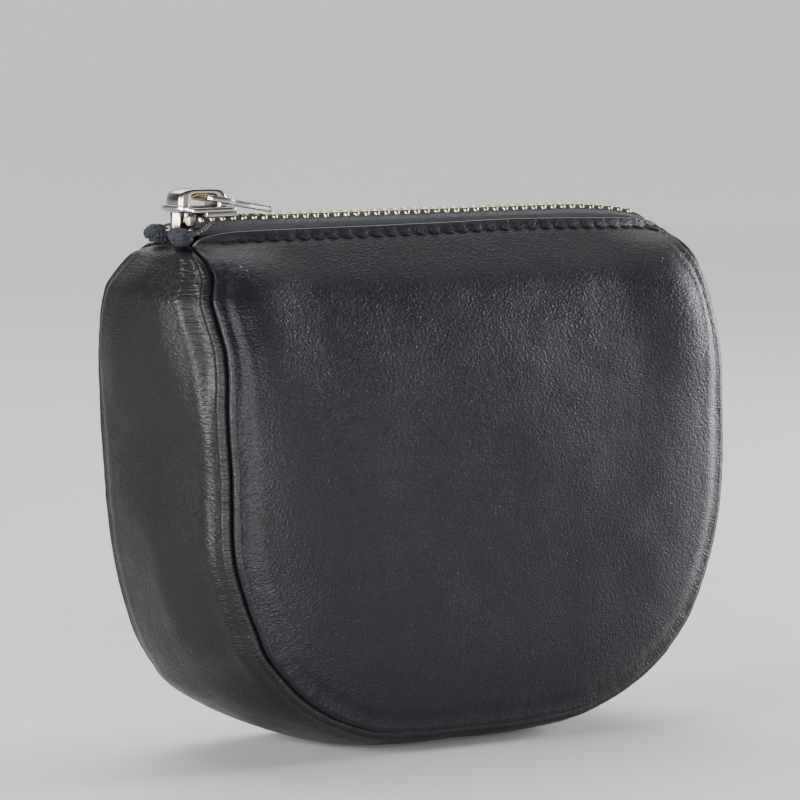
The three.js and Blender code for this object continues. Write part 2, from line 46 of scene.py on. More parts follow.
# ------------------------------------------------------------------------------------------------
# camera, first
# ------------------------------------------------------------------------------------------------
CAM_AZ, CAM_R, CAM_H, CAM_F, CAM_HORIZON, CAM_CX = 37.3, 1000.0, 150.0, 5080.0, -25.0, 418.0


def make_camera():
    a = math.radians(CAM_AZ)
    fwd = Vector((math.sin(a), math.cos(a), 0))
    pitch = math.atan((400 - CAM_HORIZON) / CAM_F)
    f = fwd * math.cos(pitch) + Vector((0, 0, -math.sin(pitch)))
    data = bpy.data.cameras.new("camera")
    data.sensor_fit = "HORIZONTAL"
    data.sensor_width = 36
    data.lens = CAM_F / 800 * 36
    data.shift_x = -(CAM_CX - 400) / 800
    data.clip_start, data.clip_end = 0.05, 200
    cam = bpy.data.objects.new("camera", data)
    cam.location = Vector((-math.sin(a) * CAM_R, -math.cos(a) * CAM_R, CAM_H)) * MM
    cam.rotation_mode = "QUATERNION"
    cam.rotation_quaternion = f.to_track_quat("-Z", "Y")
    bpy.context.scene.collection.objects.link(cam)
    bpy.context.scene.camera = cam


make_camera()

# ------------------------------------------------------------------------------------------------
# the purse's shape, in millimetres
# ------------------------------------------------------------------------------------------------
SEAM_HALF = np.array([
    [0, 3.4], [14, 3.5], [25, 4.4], [31.4, 6.2], [38.4, 9.1], [45.3, 13.3], [49.2, 16.9], [53, 21.4], [55.6, 26.2], [57.5, 31],
    [59.0, 36], [60.3, 43], [61.0, 52], [61.3, 64], [61.3, 78], [61.1, 87], [60.8, 92.6], [60.3, 96.4], [59.4, 99.2]], float)
DEPTH_SIDE = np.array([
    [0, 20.5], [66, 20.5], [72, 20.4], [79, 19.4], [84, 17.8], [88.8, 16.2], [93.7, 14.2], [96.2, 12.2],
    [98.2, 9.3], [99.6, 7.0], [104, 6.4]], float)
DEPTH_MID = np.array([
    [0, 20.5], [50, 20.5], [64, 20.0], [74, 18.8], [83, 16.6], [90, 13.9], [96, 10.9], [99.5, 8.7], [101.4, 7.4], [104, 6.2]], float)
LEFT_SHIFT = np.array([[0, 0], [30, 0], [40, -0.3], [50, 0.3], [71, 0.5], [80, 0.9], [86, 0.35], [91, 0.0], [104, 0]], float)
RIGHT_SHIFT = np.array([[0, 0], [30, 0.3], [45, 0.9], [55, 0.9], [70, 0.2], [86, 0], [92.6, -1.1], [96.4, -2.6], [99.2, -2.6]])
TOP_Z = 101.4
CHAIN_Z = 103.45
PITCH = 2.45
LEATHER = 1.15


def sstep(a, b, v):
    t = np.clip((np.asarray(v, float) - a) / (b - a), 0, 1)
    return t * t * (3 - 2 * t)


def pchip(xk, yk, x):
    """Monotone cubic through the given points."""
    xk, yk, x = np.asarray(xk, float), np.asarray(yk, float), np.asarray(x, float)
    h, dl = np.diff(xk), np.diff(yk) / np.diff(xk)
    m = np.zeros(len(xk))
    for i in range(1, len(xk) - 1):
        if dl[i - 1] * dl[i] > 0:
            w1, w2 = 2 * h[i] + h[i - 1], h[i] + 2 * h[i - 1]
            m[i] = (w1 + w2) / (w1 / dl[i - 1] + w2 / dl[i])
    m[0], m[-1] = dl[0], dl[-1]
    i = np.clip(np.searchsorted(xk, x) - 1, 0, len(h) - 1)
    t = np.clip((x - xk[i]) / h[i], 0, 1)
    return (yk[i] * (1 + 2 * t) * (1 - t) ** 2 + m[i] * h[i] * t * (1 - t) ** 2
            + yk[i + 1] * t * t * (3 - 2 * t) + m[i + 1] * h[i] * t * t * (t - 1))


def depth_side(z):
    return pchip(DEPTH_SIDE[:, 0], DEPTH_SIDE[:, 1], np.clip(z, 0, 104))


def depth_mid(z):
    return pchip(DEPTH_MID[:, 0], DEPTH_MID[:, 1], np.clip(z, 0, 104))


def depth_at(x, z):
    t = sstep(36, 57, np.abs(x))
    return depth_mid(z) * (1 - t) + depth_side(z) * t


FRONT_DX = np.array([[0, 0], [7, 0], [10, 0.5], [13, 1.0], [16, 1.3], [21, 1.2], [26.4, 1.6], [30.4, 1.4], [34.5, 1.3], [40, 1.0], [55, 1.1], [63, 0.6],
                     [70.8, 0.15], [80, 0.3], [84.6, 0.0], [88.5, -0.3], [91, 0.45], [93.6, 1.25], [95.9, 0.9], [98.6, -0.5], [101, -0.3], [110, 0]])
BACK_DX = np.array([[0, 0], [8, -1.2], [12, -1.8], [16, -1.0], [22, -0.2], [30, 0.5], [36, 0.9], [42, 0.9], [50, 0.2], [60, -0.4], [70, -1.1], [78, -1.7], [84, -1.7],
                    [90, -1.5], [94, -0.5], [98, 0], [110, 0]])
BACK_DY = np.array([[0, 0], [70, 0], [79, 0.04], [84, 0.09], [90, 0.13], [94, 0.07], [98, 0], [110, 0]])


def warp(v):
    """The left side isn't a mirror image of itself: its front seam wanders, its back shoulder stands out."""
    v = np.array(v, float)
    x, y, z = v[:, 0].copy(), v[:, 1].copy(), v[:, 2].copy()
    side = sstep(-10, -38, x)
    v[:, 0] += side * (sstep(2, -14, y) * pchip(FRONT_DX[:, 0], FRONT_DX[:, 1], np.clip(z, 0, 110))
                       + sstep(-2, 14, y) * pchip(BACK_DX[:, 0], BACK_DX[:, 1], np.clip(z, 0, 110)))
    v[:, 1] *= 1 + sstep(-30, -57, x) * sstep(-2, 14, y) * pchip(BACK_DY[:, 0], BACK_DY[:, 1], np.clip(z, 0, 110))
    return v


# ---- smooth noise that needs no random seed ------------------------------------------------------
def _hash(i, j, seed):
    n = (i.astype(np.int64) * 374761393 + j.astype(np.int64) * 668265263 + seed * 1442695041) & 0xFFFFFFFF
    n = ((n ^ (n >> 13)) * 1274126177) & 0xFFFFFFFF
    n = (n ^ (n >> 16)) & 0xFFFFFFFF
    return n.astype(float) / 0xFFFFFFFF * 2 - 1


def vnoise(u, v, seed=0):
    u, v = np.broadcast_arrays(np.asarray(u, float), np.asarray(v, float))
    i, j = np.floor(u), np.floor(v)
    fu, fv = u - i, v - j
    su, sv = fu ** 3 * (fu * (fu * 6 - 15) + 10), fv ** 3 * (fv * (fv * 6 - 15) + 10)
    a, b = _hash(i, j, seed), _hash(i + 1, j, seed)
    c, d = _hash(i, j + 1, seed), _hash(i + 1, j + 1, seed)
    return (a * (1 - su) + b * su) * (1 - sv) + (c * (1 - su) + d * su) * sv


def fnoise(u, v, seed=0, octaves=3):
    out, amp = 0, 1.0
    for k in range(octaves):
        out = out + amp * vnoise(u * 2 ** k, v * 2 ** k, seed + 17 * k)
        amp *= 0.5
    return out / 1.75


# ---- the seam line, as a fine smooth curve --------------------------------------------------------
def smooth_curve(points, step):
    """Centripetal Catmull-Rom through the points, resampled evenly."""
    p = np.asarray(points, float)
    p = np.vstack([2 * p[0] - p[1], p, 2 * p[-1] - p[-2]])
    out = []
    for k in range(1, len(p) - 2):
        p0, p1, p2, p3 = p[k - 1], p[k], p[k + 1], p[k + 2]
        t0 = 0.0
        t1 = t0 + np.linalg.norm(p1 - p0) ** 0.5
        t2 = t1 + np.linalg.norm(p2 - p1) ** 0.5
        t3 = t2 + np.linalg.norm(p3 - p2) ** 0.5
        t = np.linspace(t1, t2, 60, endpoint=False)[:, None]
        a1 = (t1 - t) / (t1 - t0) * p0 + (t - t0) / (t1 - t0) * p1
        a2 = (t2 - t) / (t2 - t1) * p1 + (t - t1) / (t2 - t1) * p2
        a3 = (t3 - t) / (t3 - t2) * p2 + (t - t2) / (t3 - t2) * p3
        b1 = (t2 - t) / (t2 - t0) * a1 + (t - t0) / (t2 - t0) * a2
        b2 = (t3 - t) / (t3 - t1) * a2 + (t - t1) / (t3 - t1) * a3
        out.append((t2 - t) / (t2 - t1) * b1 + (t - t1) / (t2 - t1) * b2)
    q = np.vstack(out + [p[-2][None]])
    s = np.r_[0, np.cumsum(np.linalg.norm(np.diff(q, axis=0), axis=1))]
    n = max(2, int(round(s[-1] / step)))
    t = np.linspace(0, s[-1], n + 1)
    return np.c_[[np.interp(t, s, q[:, k]) for k in range(q.shape[1])]].T, t


STEP = 0.55
left = SEAM_HALF[::-1] * [-1, 1]
left[:, 0] += np.interp(left[:, 1], LEFT_SHIFT[:, 0], LEFT_SHIFT[:, 1])
right = SEAM_HALF[1:].copy()
right[:, 0] += np.interp(right[:, 1], RIGHT_SHIFT[:, 0], RIGHT_SHIFT[:, 1])
seam_xz, seam_s = smooth_curve(np.vstack([left, right]), STEP)
_t = np.gradient(seam_xz, axis=0)
_t /= np.linalg.norm(_t, axis=1)[:, None]
seam_n = np.c_[_t[:, 1], -_t[:, 0]]
for _k in range(len(seam_n)):
    if seam_n[_k] @ (seam_xz[_k] - [0, 50]) < 0:
        seam_n[_k] *= -1
seam_end = np.minimum(seam_s, seam_s[-1] - seam_s)
seam_d = depth_side(seam_xz[:, 1])


def nearest(poly, pts):
    """Distance from each point to the polyline, and the index (with fraction) of the nearest place."""
    out, where = np.empty(len(pts)), np.empty(len(pts))
    a, b = poly[:-1], poly[1:]
    ab = b - a
    ll = (ab ** 2).sum(1)
    for k in range(0, len(pts), 4000):
        p = pts[k:k + 4000, None, :]
        t = np.clip(((p - a) * ab).sum(2) / ll, 0, 1)
        d = np.linalg.norm(p - (a + t[..., None] * ab), axis=2)
        i = d.argmin(1)
        r = np.arange(len(i))
        out[k:k + 4000], where[k:k + 4000] = d[r, i], i + t[r, i]
    return out, where


# ------------------------------------------------------------------------------------------------
# mesh helpers
# ------------------------------------------------------------------------------------------------
def new_mesh(name, verts, faces, smooth=True, mats=(), pq=None, mat_index=None):
    if name.split("_")[0] in ("front", "back", "gusset", "lining"):
        verts = warp(verts)
    me = bpy.data.meshes.new(name)
    me.from_pydata((np.asarray(verts, float) * MM).tolist(), [], [list(map(int, f)) for f in faces])
    me.validate()
    if smooth:
        me.polygons.foreach_set("use_smooth", [True] * len(me.polygons))
    for m in mats:
        me.materials.append(m)
    if mat_index is not None and len(mat_index) == len(me.polygons):
        me.polygons.foreach_set("material_index", mat_index)
    if pq is not None:
        at = me.attributes.new("pq", "FLOAT_VECTOR", "POINT")
        at.data.foreach_set("vector", np.asarray(pq, np.float32).ravel())
    me.update()
    ob = bpy.data.objects.new(name, me)
    bpy.context.scene.collection.objects.link(ob)
    return ob


def set_attr(ob, name, values):
    at = ob.data.attributes.new(name, "FLOAT_VECTOR", "POINT")
    at.data.foreach_set("vector", np.ascontiguousarray(values, np.float32).ravel())


def fix_normals(ob):
    bm = bmesh.new()
    bm.from_mesh(ob.data)
    bmesh.ops.recalc_face_normals(bm, faces=bm.faces)
    bm.to_mesh(ob.data)
    bm.free()
    ob.data.update()


def shell_faces(n, m, closed_u, off_o, off_i):
    """Quads of a closed thin shell between two n by m grids whose first vertices are off_o and off_i."""
    last = n if closed_u else n - 1
    i = np.arange(last)
    j = np.arange(m - 1)
    I, J = np.meshgrid(i, j, indexing="ij")
    I2 = (I + 1) % n
    outer = np.stack([I * m + J, I2 * m + J, I2 * m + J + 1, I * m + J + 1], -1).reshape(-1, 4) + off_o
    inner = np.stack([I * m + J, I * m + J + 1, I2 * m + J + 1, I2 * m + J], -1).reshape(-1, 4) + off_i
    i2 = (i + 1) % n
    e0 = np.stack([off_o + i * m, off_i + i * m, off_i + i2 * m, off_o + i2 * m], -1)
    e1 = np.stack([off_o + i * m + m - 1, off_o + i2 * m + m - 1, off_i + i2 * m + m - 1, off_i + i * m + m - 1], -1)
    parts = [outer, inner, e0, e1]
    tags = [0] * len(outer) + [1] * len(inner) + [2] * len(e0) + [3] * len(e1)
    if not closed_u:
        c0 = np.stack([off_o + j, off_o + j + 1, off_i + j + 1, off_i + j], -1)
        b = (n - 1) * m
        c1 = np.stack([off_o + b + j, off_i + b + j, off_i + b + j + 1, off_o + b + j + 1], -1)
        parts += [c0, c1]
        tags += [4] * len(c0) + [5] * len(c1)
    return np.vstack(parts), np.array(tags)


def shell(name, outer, inner, mats, pq_o, pq_i, closed_u=False, face_mat=None):
    n, m = outer.shape[:2]
    faces, tags = shell_faces(n, m, closed_u, 0, n * m)
    verts = np.vstack([outer.reshape(-1, 3), inner.reshape(-1, 3)])
    pq = np.vstack([pq_o.reshape(-1, 3), pq_i.reshape(-1, 3)])
    idx = face_mat(tags) if face_mat else None
    ob = new_mesh(name, verts, faces, mats=mats, pq=pq, mat_index=idx)
    fix_normals(ob)
    return ob


def tube(points, radius, sides=8, ends=True):
    """Vertices and faces of a tube along a list of points."""
    p = np.asarray(points, float)
    t = np.gradient(p, axis=0)
    t /= np.linalg.norm(t, axis=1)[:, None]
    up = np.array([0, 0, 1.0])
    if abs(t[0] @ up) > 0.9:
        up = np.array([0, 1.0, 0])
    verts = []
    n1 = np.cross(t[0], up)
    n1 /= np.linalg.norm(n1)
    r = np.broadcast_to(np.asarray(radius, float), (len(p),))
    for k in range(len(p)):
        n1 = n1 - (n1 @ t[k]) * t[k]
        n1 /= np.linalg.norm(n1)
        n2 = np.cross(t[k], n1)
        for a in np.arange(sides) / sides * 2 * np.pi:
            verts.append(p[k] + r[k] * (np.cos(a) * n1 + np.sin(a) * n2))
    faces = []
    for k in range(len(p) - 1):
        for a in range(sides):
            b = (a + 1) % sides
            faces.append([k * sides + a, k * sides + b, (k + 1) * sides + b, (k + 1) * sides + a])
    if ends:
        faces.append(list(range(sides))[::-1])
        faces.append([(len(p) - 1) * sides + a for a in range(sides)])
    return verts, faces


def join(parts):
    """Joins (verts, faces) lists into one."""
    V, F, off = [], [], 0
    for v, f in parts:
        V.extend(v)
        F.extend([[i + off for i in q] for q in f])
        off += len(v)
    return V, F


def plate(name, outer, holes, thickness, bevel, mats, place, res=3):
    """A flat piece with rounded edges from outlines in millimetres. place maps its x, y, z to the frame."""
    cu = bpy.data.curves.new(name + "_outline", "CURVE")
    cu.dimensions = "2D"
    cu.fill_mode = "BOTH"
    cu.extrude = (thickness / 2 - bevel) * MM
    cu.bevel_depth = bevel * MM
    cu.bevel_resolution = res
    cu.offset = -bevel * MM
    for pts in [outer] + list(holes):
        sp = cu.splines.new("POLY")
        sp.points.add(len(pts) - 1)
        for q, (x, y) in zip(sp.points, pts):
            q.co = (x * MM, y * MM, 0, 1)
        sp.use_cyclic_u = True
    tmp = bpy.data.objects.new(name + "_tmp", cu)
    bpy.context.scene.collection.objects.link(tmp)
    bpy.context.view_layer.update()
    me = bpy.data.meshes.new_from_object(tmp.evaluated_get(bpy.context.evaluated_depsgraph_get()))
    bpy.data.objects.remove(tmp)
    bpy.data.curves.remove(cu)
    bm = bmesh.new()
    bm.from_mesh(me)
    bmesh.ops.remove_doubles(bm, verts=bm.verts, dist=2e-6)
    for v in bm.verts:
        v.co = Vector(place(*(v.co / MM))) * MM
    bmesh.ops.recalc_face_normals(bm, faces=bm.faces)
    bm.to_mesh(me)
    bm.free()
    me.materials.clear()
    for m in mats:
        me.materials.append(m)
    me.polygons.foreach_set("use_smooth", [True] * len(me.polygons))
    at = me.attributes.new("pq", "FLOAT_VECTOR", "POINT")
    co = np.zeros(len(me.vertices) * 3, np.float32)
    me.vertices.foreach_get("co", co)
    at.data.foreach_set("vector", co / MM)
    me.name = name
    ob = bpy.data.objects.new(name, me)
    bpy.context.scene.collection.objects.link(ob)
    mod = ob.modifiers.new("edges", "EDGE_SPLIT")
    mod.split_angle = math.radians(50)
    return ob


def round_path(pts, r=0.6, n=5):
    """The closed outline with its corners rounded."""
    p = np.asarray(pts, float)
    out = []
    for k in range(len(p)):
        a, b, c = p[k - 1], p[k], p[(k + 1) % len(p)]
        u, v = a - b, c - b
        lu, lv = np.linalg.norm(u), np.linalg.norm(v)
        q = min(r, lu * 0.45, lv * 0.45)
        s, e = b + u / lu * q, b + v / lv * q
        for t in np.linspace(0, 1, n):
            out.append((1 - t) ** 2 * s + 2 * t * (1 - t) * b + t * t * e)
    return [tuple(x) for x in out]


# ------------------------------------------------------------------------------------------------
# materials
# ------------------------------------------------------------------------------------------------
class Nodes:
    def __init__(self, name):
        self.mat = bpy.data.materials.new(name)
        self.mat.use_nodes = True
        self.nt = self.mat.node_tree
        self.nt.nodes.clear()
        self.out = self.nt.nodes.new("ShaderNodeOutputMaterial")
        self.bsdf = self.nt.nodes.new("ShaderNodeBsdfPrincipled")
        self.nt.links.new(self.bsdf.outputs[0], self.out.inputs[0])

    def n(self, kind, **kw):
        node = self.nt.nodes.new("ShaderNode" + kind)
        for k, v in kw.items():
            if k.startswith("in_"):
                node.inputs[k[3:].replace("_", " ")].default_value = v
            else:
                setattr(node, k, v)
        return node

    def link(self, a, b):
        self.nt.links.new(a, b)

    def pq(self, scale=(1, 1, 1), offset=(0, 0, 0)):
        a = self.n("Attribute", attribute_name="pq", attribute_type="GEOMETRY")
        m = self.n("Mapping")
        m.inputs["Scale"].default_value = scale
        m.inputs["Location"].default_value = offset
        self.link(a.outputs["Vector"], m.inputs["Vector"])
        return m.outputs["Vector"]

    def noise(self, vec, scale, detail=2.0, rough=0.5, dist=0.0, kind=None):
        t = self.n("TexNoise")
        t.inputs["Scale"].default_value = scale
        t.inputs["Detail"].default_value = detail
        t.inputs["Roughness"].default_value = rough
        t.inputs["Distortion"].default_value = dist
        if kind:
            t.noise_type = kind
        self.link(vec, t.inputs["Vector"])
        return t.outputs["Fac"]

    def voronoi(self, vec, scale, feature="F1", smooth=0.3, rand=1.0):
        t = self.n("TexVoronoi", feature=feature)
        t.inputs["Scale"].default_value = scale
        t.inputs["Randomness"].default_value = rand
        if feature == "SMOOTH_F1":
            t.inputs["Smoothness"].default_value = smooth
        self.link(vec, t.inputs["Vector"])
        return t.outputs["Distance"]

    def math(self, op, a, b=None, clamp=False):
        t = self.n("Math", operation=op, use_clamp=clamp)
        for k, v in enumerate((a, b)):
            if v is None:
                continue
            if isinstance(v, (int, float)):
                t.inputs[k].default_value = v
            else:
                self.link(v, t.inputs[k])
        return t.outputs[0]

    def ramp(self, fac, stops, kind="LINEAR"):
        t = self.n("ValToRGB")
        t.color_ramp.interpolation = kind
        els = t.color_ramp.elements
        while len(els) > 1:
            els.remove(els[-1])
        els[0].position, els[0].color = stops[0][0], tuple(stops[0][1]) + (1,)
        for p, c in stops[1:]:
            e = els.new(p)
            e.color = tuple(c) + (1,)
        self.link(fac, t.inputs[0])
        return t.outputs[0]

    def rng(self, v, a, b, c, d):
        t = self.n("MapRange", clamp=True)
        for k, x in zip(("From Min", "From Max", "To Min", "To Max"), (a, b, c, d)):
            t.inputs[k].default_value = x
        self.link(v, t.inputs["Value"])
        return t.outputs[0]

    def bump(self, height, dist, strength=1.0, normal=None):
        t = self.n("Bump")
        t.inputs["Strength"].default_value = strength
        t.inputs["Distance"].default_value = dist * MM
        self.link(height, t.inputs["Height"])
        if normal is not None:
            self.link(normal, t.inputs["Normal"])
        return t.outputs[0]

    def set(self, **kw):
        for k, v in kw.items():
            s = self.bsdf.inputs[k.replace("_", " ")]
            if isinstance(v, (int, float, tuple)):
                s.default_value = v if not (isinstance(v, tuple) and len(v) == 3 and s.type == "RGBA") else v + (1,)
            else:
                self.link(v, s)
        return self


def leather_material(name, base, tint, across, rough=0.40, seed=0.0, wrinkles=1.0):
    """Black, lightly waxed leather with a fine pebble grain. across stretches the grain along the second axis of pq.
    Beside the seams it is drawn into fine wrinkles that run straight away from the seam."""
    m = Nodes(name)
    fine = m.pq((1, 1, 1), (seed, 0, 0))
    stretched = m.pq(across, (seed * 2, 3, 0))
    pebble = m.voronoi(fine, 1.55, "SMOOTH_F1", 0.35)
    pebble2 = m.voronoi(stretched, 1.9, "SMOOTH_F1", 0.4)
    wrinkle = m.noise(stretched, 1.5, 3.0, 0.55, 0.6)
    cloud = m.noise(m.pq((1, 1, 1), (seed, 9, 0)), 0.055, 4.0, 0.6, 0.4)
    cloud2 = m.noise(m.pq((1, 1, 1), (seed, 40, 0)), 0.19, 3.0, 0.6, 0.2)
    speck = m.noise(m.pq((1, 1, 1), (seed, 70, 0)), 0.7, 3.0, 0.65)
    pores = m.noise(fine, 6.0, 2.0, 0.6)
    at = m.n("Attribute", attribute_name="sa", attribute_type="GEOMETRY")
    sep = m.n("SeparateXYZ")
    m.link(at.outputs["Vector"], sep.inputs[0])
    comb = m.n("CombineXYZ")
    m.link(m.math("MULTIPLY", sep.outputs[0], 1.0), comb.inputs[0])
    m.link(m.math("MULTIPLY", sep.outputs[1], 0.24), comb.inputs[1])
    drawn = m.noise(comb.outputs[0], 1.35, 2.5, 0.55, 0.15)
    drawn = m.math("SUBTRACT", 1.0, m.math("MULTIPLY", m.math("ABSOLUTE", m.math("SUBTRACT", drawn, 0.5)), 4.0))
    near = m.math("MULTIPLY", m.rng(sep.outputs[1], 0.6, 1.5, 0.0, 1.0), m.rng(sep.outputs[1], 4.0, 9.5, 1.0, 0.0))
    near = m.math("MULTIPLY", near, m.rng(cloud2, 0.35, 0.6, 0.45, 1.0))
    patches = m.math("ADD", m.math("MULTIPLY", cloud, 0.6), m.math("MULTIPLY", cloud2, 0.4))
    height = m.math("ADD", m.math("MULTIPLY", pebble, -0.45), m.math("MULTIPLY", pebble2, -0.55))
    height = m.math("ADD", height, m.math("MULTIPLY", wrinkle, 0.9))
    height = m.math("ADD", height, m.math("MULTIPLY", pores, 0.05))
    height = m.math("ADD", height, m.math("MULTIPLY", m.math("MULTIPLY", drawn, near), 0.62 * wrinkles))
    colour = m.ramp(m.rng(patches, 0.3, 0.7, 0, 1), [(0.0, [c * 0.72 for c in base]), (0.55, base), (1.0, tint)])
    r = m.math("ADD", m.rng(patches, 0.38, 0.62, rough + 0.12, rough + 0.01), m.rng(pebble, 0.1, 0.7, -0.02, 0.07))
    r = m.math("ADD", r, m.rng(speck, 0.35, 0.65, -0.02, 0.04))
    m.set(Base_Color=colour, Roughness=r, Normal=m.bump(height, 0.115, 0.85))
    m.bsdf.inputs["Specular IOR Level"].default_value = 0.235
    m.bsdf.inputs["IOR"].default_value = 1.5
    m.bsdf.inputs["Coat Weight"].default_value = 0.0
    m.bsdf.inputs["Coat Roughness"].default_value = 0.32
    return m.mat


def edge_material():
    """The cut edge of the leather: paler, fibrous."""
    m = Nodes("leather_cut_edge")
    fib = m.noise(m.pq((0.6, 3, 3)), 3.0, 4.0, 0.7)
    m.set(Base_Color=m.ramp(fib, [(0.3, (0.055, 0.052, 0.048)), (0.7, (0.15, 0.14, 0.128))]), Roughness=m.rng(fib, 0.3, 0.7, 0.75, 0.9),
          Normal=m.bump(fib, 0.08, 0.7))
    return m.mat


def flesh_material():
    """The inner side of the leather."""
    m = Nodes("leather_inner_side")
    fib = m.noise(m.pq((1, 1, 1)), 2.2, 5.0, 0.7)
    m.set(Base_Color=m.ramp(fib, [(0.3, (0.020, 0.020, 0.022)), (0.7, (0.042, 0.041, 0.042))]), Roughness=m.rng(fib, 0.3, 0.7, 0.85, 0.95),
          Normal=m.bump(fib, 0.12, 0.6))
    return m.mat


def lining_material():
    """Fine plain weave."""
    m = Nodes("lining_cloth")
    v = m.pq((1, 1, 1))
    sep = m.n("SeparateXYZ")
    m.link(v, sep.inputs[0])
    a = m.math("SINE", m.math("MULTIPLY", sep.outputs[0], 14.0))
    b = m.math("SINE", m.math("MULTIPLY", sep.outputs[1], 14.0))
    weave = m.math("MULTIPLY", a, b)
    cloud = m.noise(v, 0.12, 3.0, 0.55)
    m.set(Base_Color=m.ramp(cloud, [(0.3, (0.020, 0.021, 0.024)), (0.7, (0.036, 0.037, 0.042))]), Roughness=m.rng(weave, -1, 1, 0.9, 0.72),
          Normal=m.bump(weave, 0.06, 0.8))
    m.bsdf.inputs["Sheen Weight"].default_value = 0.25
    m.bsdf.inputs["Sheen Roughness"].default_value = 0.5
    return m.mat


def tape_material():
    """Woven polyester tape: slanted ribs, changing sides along its middle."""
    m = Nodes("zip_tape_weave")
    v = m.pq((1, 1, 1))
    sep = m.n("SeparateXYZ")
    m.link(v, sep.inputs[0])
    w = m.math("ABSOLUTE", m.math("SUBTRACT", m.math("MODULO", m.math("ADD", sep.outputs[1], 40.0), 2.4), 1.2))
    d = m.math("SINE", m.math("MULTIPLY", m.math("ADD", sep.outputs[0], m.math("MULTIPLY", w, 1.3)), 9.0))
    yarn = m.math("SINE", m.math("MULTIPLY", sep.outputs[1], 30.0))
    h = m.math("ADD", m.math("MULTIPLY", d, 0.8), m.math("MULTIPLY", yarn, 0.2))
    fuzz = m.noise(v, 5.0, 3.0, 0.6)
    # the base colour follows the rib height: painted shade in the rib valleys and painted highlight on the rib tops
    m.set(Base_Color=m.ramp(m.rng(h, -1, 1, 0, 1), [(0.0, (0.002, 0.0024, 0.004)), (1.0, (0.010, 0.011, 0.017))]),
          Roughness=m.rng(fuzz, 0.3, 0.7, 0.55, 0.8), Normal=m.bump(m.math("ADD", h, m.math("MULTIPLY", fuzz, 0.5)), 0.13, 1.0))
    m.bsdf.inputs["Specular IOR Level"].default_value = 0.3
    m.bsdf.inputs["Sheen Weight"].default_value = 0.08
    m.bsdf.inputs["Sheen Roughness"].default_value = 0.4
    return m.mat


def thread_material(name, c0, c1):
    m = Nodes(name)
    v = m.pq((1, 1, 1))
    sep = m.n("SeparateXYZ")
    m.link(v, sep.inputs[0])
    tw = m.math("SINE", m.math("ADD", m.math("MULTIPLY", sep.outputs[0], 16.0), m.math("MULTIPLY", sep.outputs[2], 14.0)))
    fuzz = m.noise(v, 4.0, 3.0, 0.6)
    # the base colour follows the twist: painted shade in the grooves between the plies and painted highlight on their
    # crests
    m.set(Base_Color=m.ramp(m.rng(tw, -1, 1, 0, 1), [(0, c0), (1, c1)]), Roughness=m.rng(fuzz, 0.3, 0.7, 0.6, 0.8), Normal=m.bump(tw, 0.05, 0.8))
    m.bsdf.inputs["Specular IOR Level"].default_value = 0.12
    return m.mat


def metal_material(name, bright, dull, rough, seed=0.0, scale=0.9, bump=0.02):
    """Plated metal: blotchy tarnish, dull in its hollows and bright on its edges by pointiness (painted shade in the
    hollows), with fine rubbing marks.
    """
    m = Nodes(name)
    v = m.pq((1, 1, 1), (seed, 0, 0))
    blot = m.noise(v, scale, 4.0, 0.6, 0.3)
    rub = m.noise(m.pq((0.7, 6, 6), (seed, 0, 0)), 2.5, 4.0, 0.65)
    point = m.n("NewGeometry").outputs["Pointiness"]
    # the noise blotches are tarnish; the pointiness term makes the hollows dull, painted shade, and the edges bright
    tarnish_and_crevice_shade = m.math("ADD", m.math("MULTIPLY", blot, 0.7), m.math("MULTIPLY", m.rng(point, 0.42, 0.6, 0, 1), 0.45), clamp=True)
    m.set(Base_Color=m.ramp(tarnish_and_crevice_shade, [(0.25, dull), (0.62, bright)]), Metallic=1.0,
          Roughness=m.math("ADD", m.rng(tarnish_and_crevice_shade, 0.2, 0.8, rough + 0.12, rough - 0.04), m.rng(rub, 0.3, 0.7, -0.03, 0.05)),
          Normal=m.bump(m.math("ADD", rub, m.math("MULTIPLY", blot, 0.6)), bump, 0.5))
    return m.mat


def wad_material():
    """The same tape where it is bunched: coarse, matt, a little blue."""
    m = Nodes("zip_tape_bunched")
    v = m.pq((1, 1, 1))
    fuzz = m.noise(v, 3.2, 4.0, 0.65)
    blot = m.noise(v, 0.9, 3.0, 0.6)
    m.set(Base_Color=m.ramp(blot, [(0.3, (0.002, 0.0024, 0.004)), (0.7, (0.007, 0.010, 0.018))]), Roughness=m.rng(fuzz, 0.3, 0.7, 0.42, 0.7),
          Normal=m.bump(fuzz, 0.22, 1.0))
    m.bsdf.inputs["Specular IOR Level"].default_value = 0.3
    m.bsdf.inputs["Sheen Weight"].default_value = 0.08
    m.bsdf.inputs["Sheen Roughness"].default_value = 0.4
    return m.mat


def recolour_node(name, mat):
    """Gives a carried-over CAD piece a finished material."""
    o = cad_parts[name]
    o.data.materials.clear()
    o.data.materials.append(mat)
    return o


# the front and back copies get a bluer base colour than the gusset: painted cool light on the panels, the leather
# itself is the same throughout
M_FRONT = leather_material("leather_front", (0.0030, 0.0032, 0.0052), (0.0054, 0.0058, 0.0090), (1.0, 1.9, 1.6), 0.30, 0.0, 1.1)
M_BACK = leather_material("leather_back", (0.0030, 0.0032, 0.0050), (0.0054, 0.0058, 0.0086), (1.0, 1.9, 1.6), 0.30, 57.0, 1.1)
M_GUSSET = leather_material("leather_gusset", (0.0034, 0.0036, 0.0044), (0.0058, 0.0060, 0.0070), (1.9, 0.62, 1.2), 0.31, 21.0, 1.7)
M_EDGE = edge_material()
M_FLESH = flesh_material()
M_LINING = lining_material()
M_TAPE = tape_material()
M_WAD = wad_material()
M_STITCH = thread_material("stitch_thread", (0.0012, 0.0012, 0.0014), (0.0050, 0.0050, 0.0060))
M_FRAY = thread_material("tape_fibre", (0.010, 0.012, 0.018), (0.035, 0.040, 0.055))
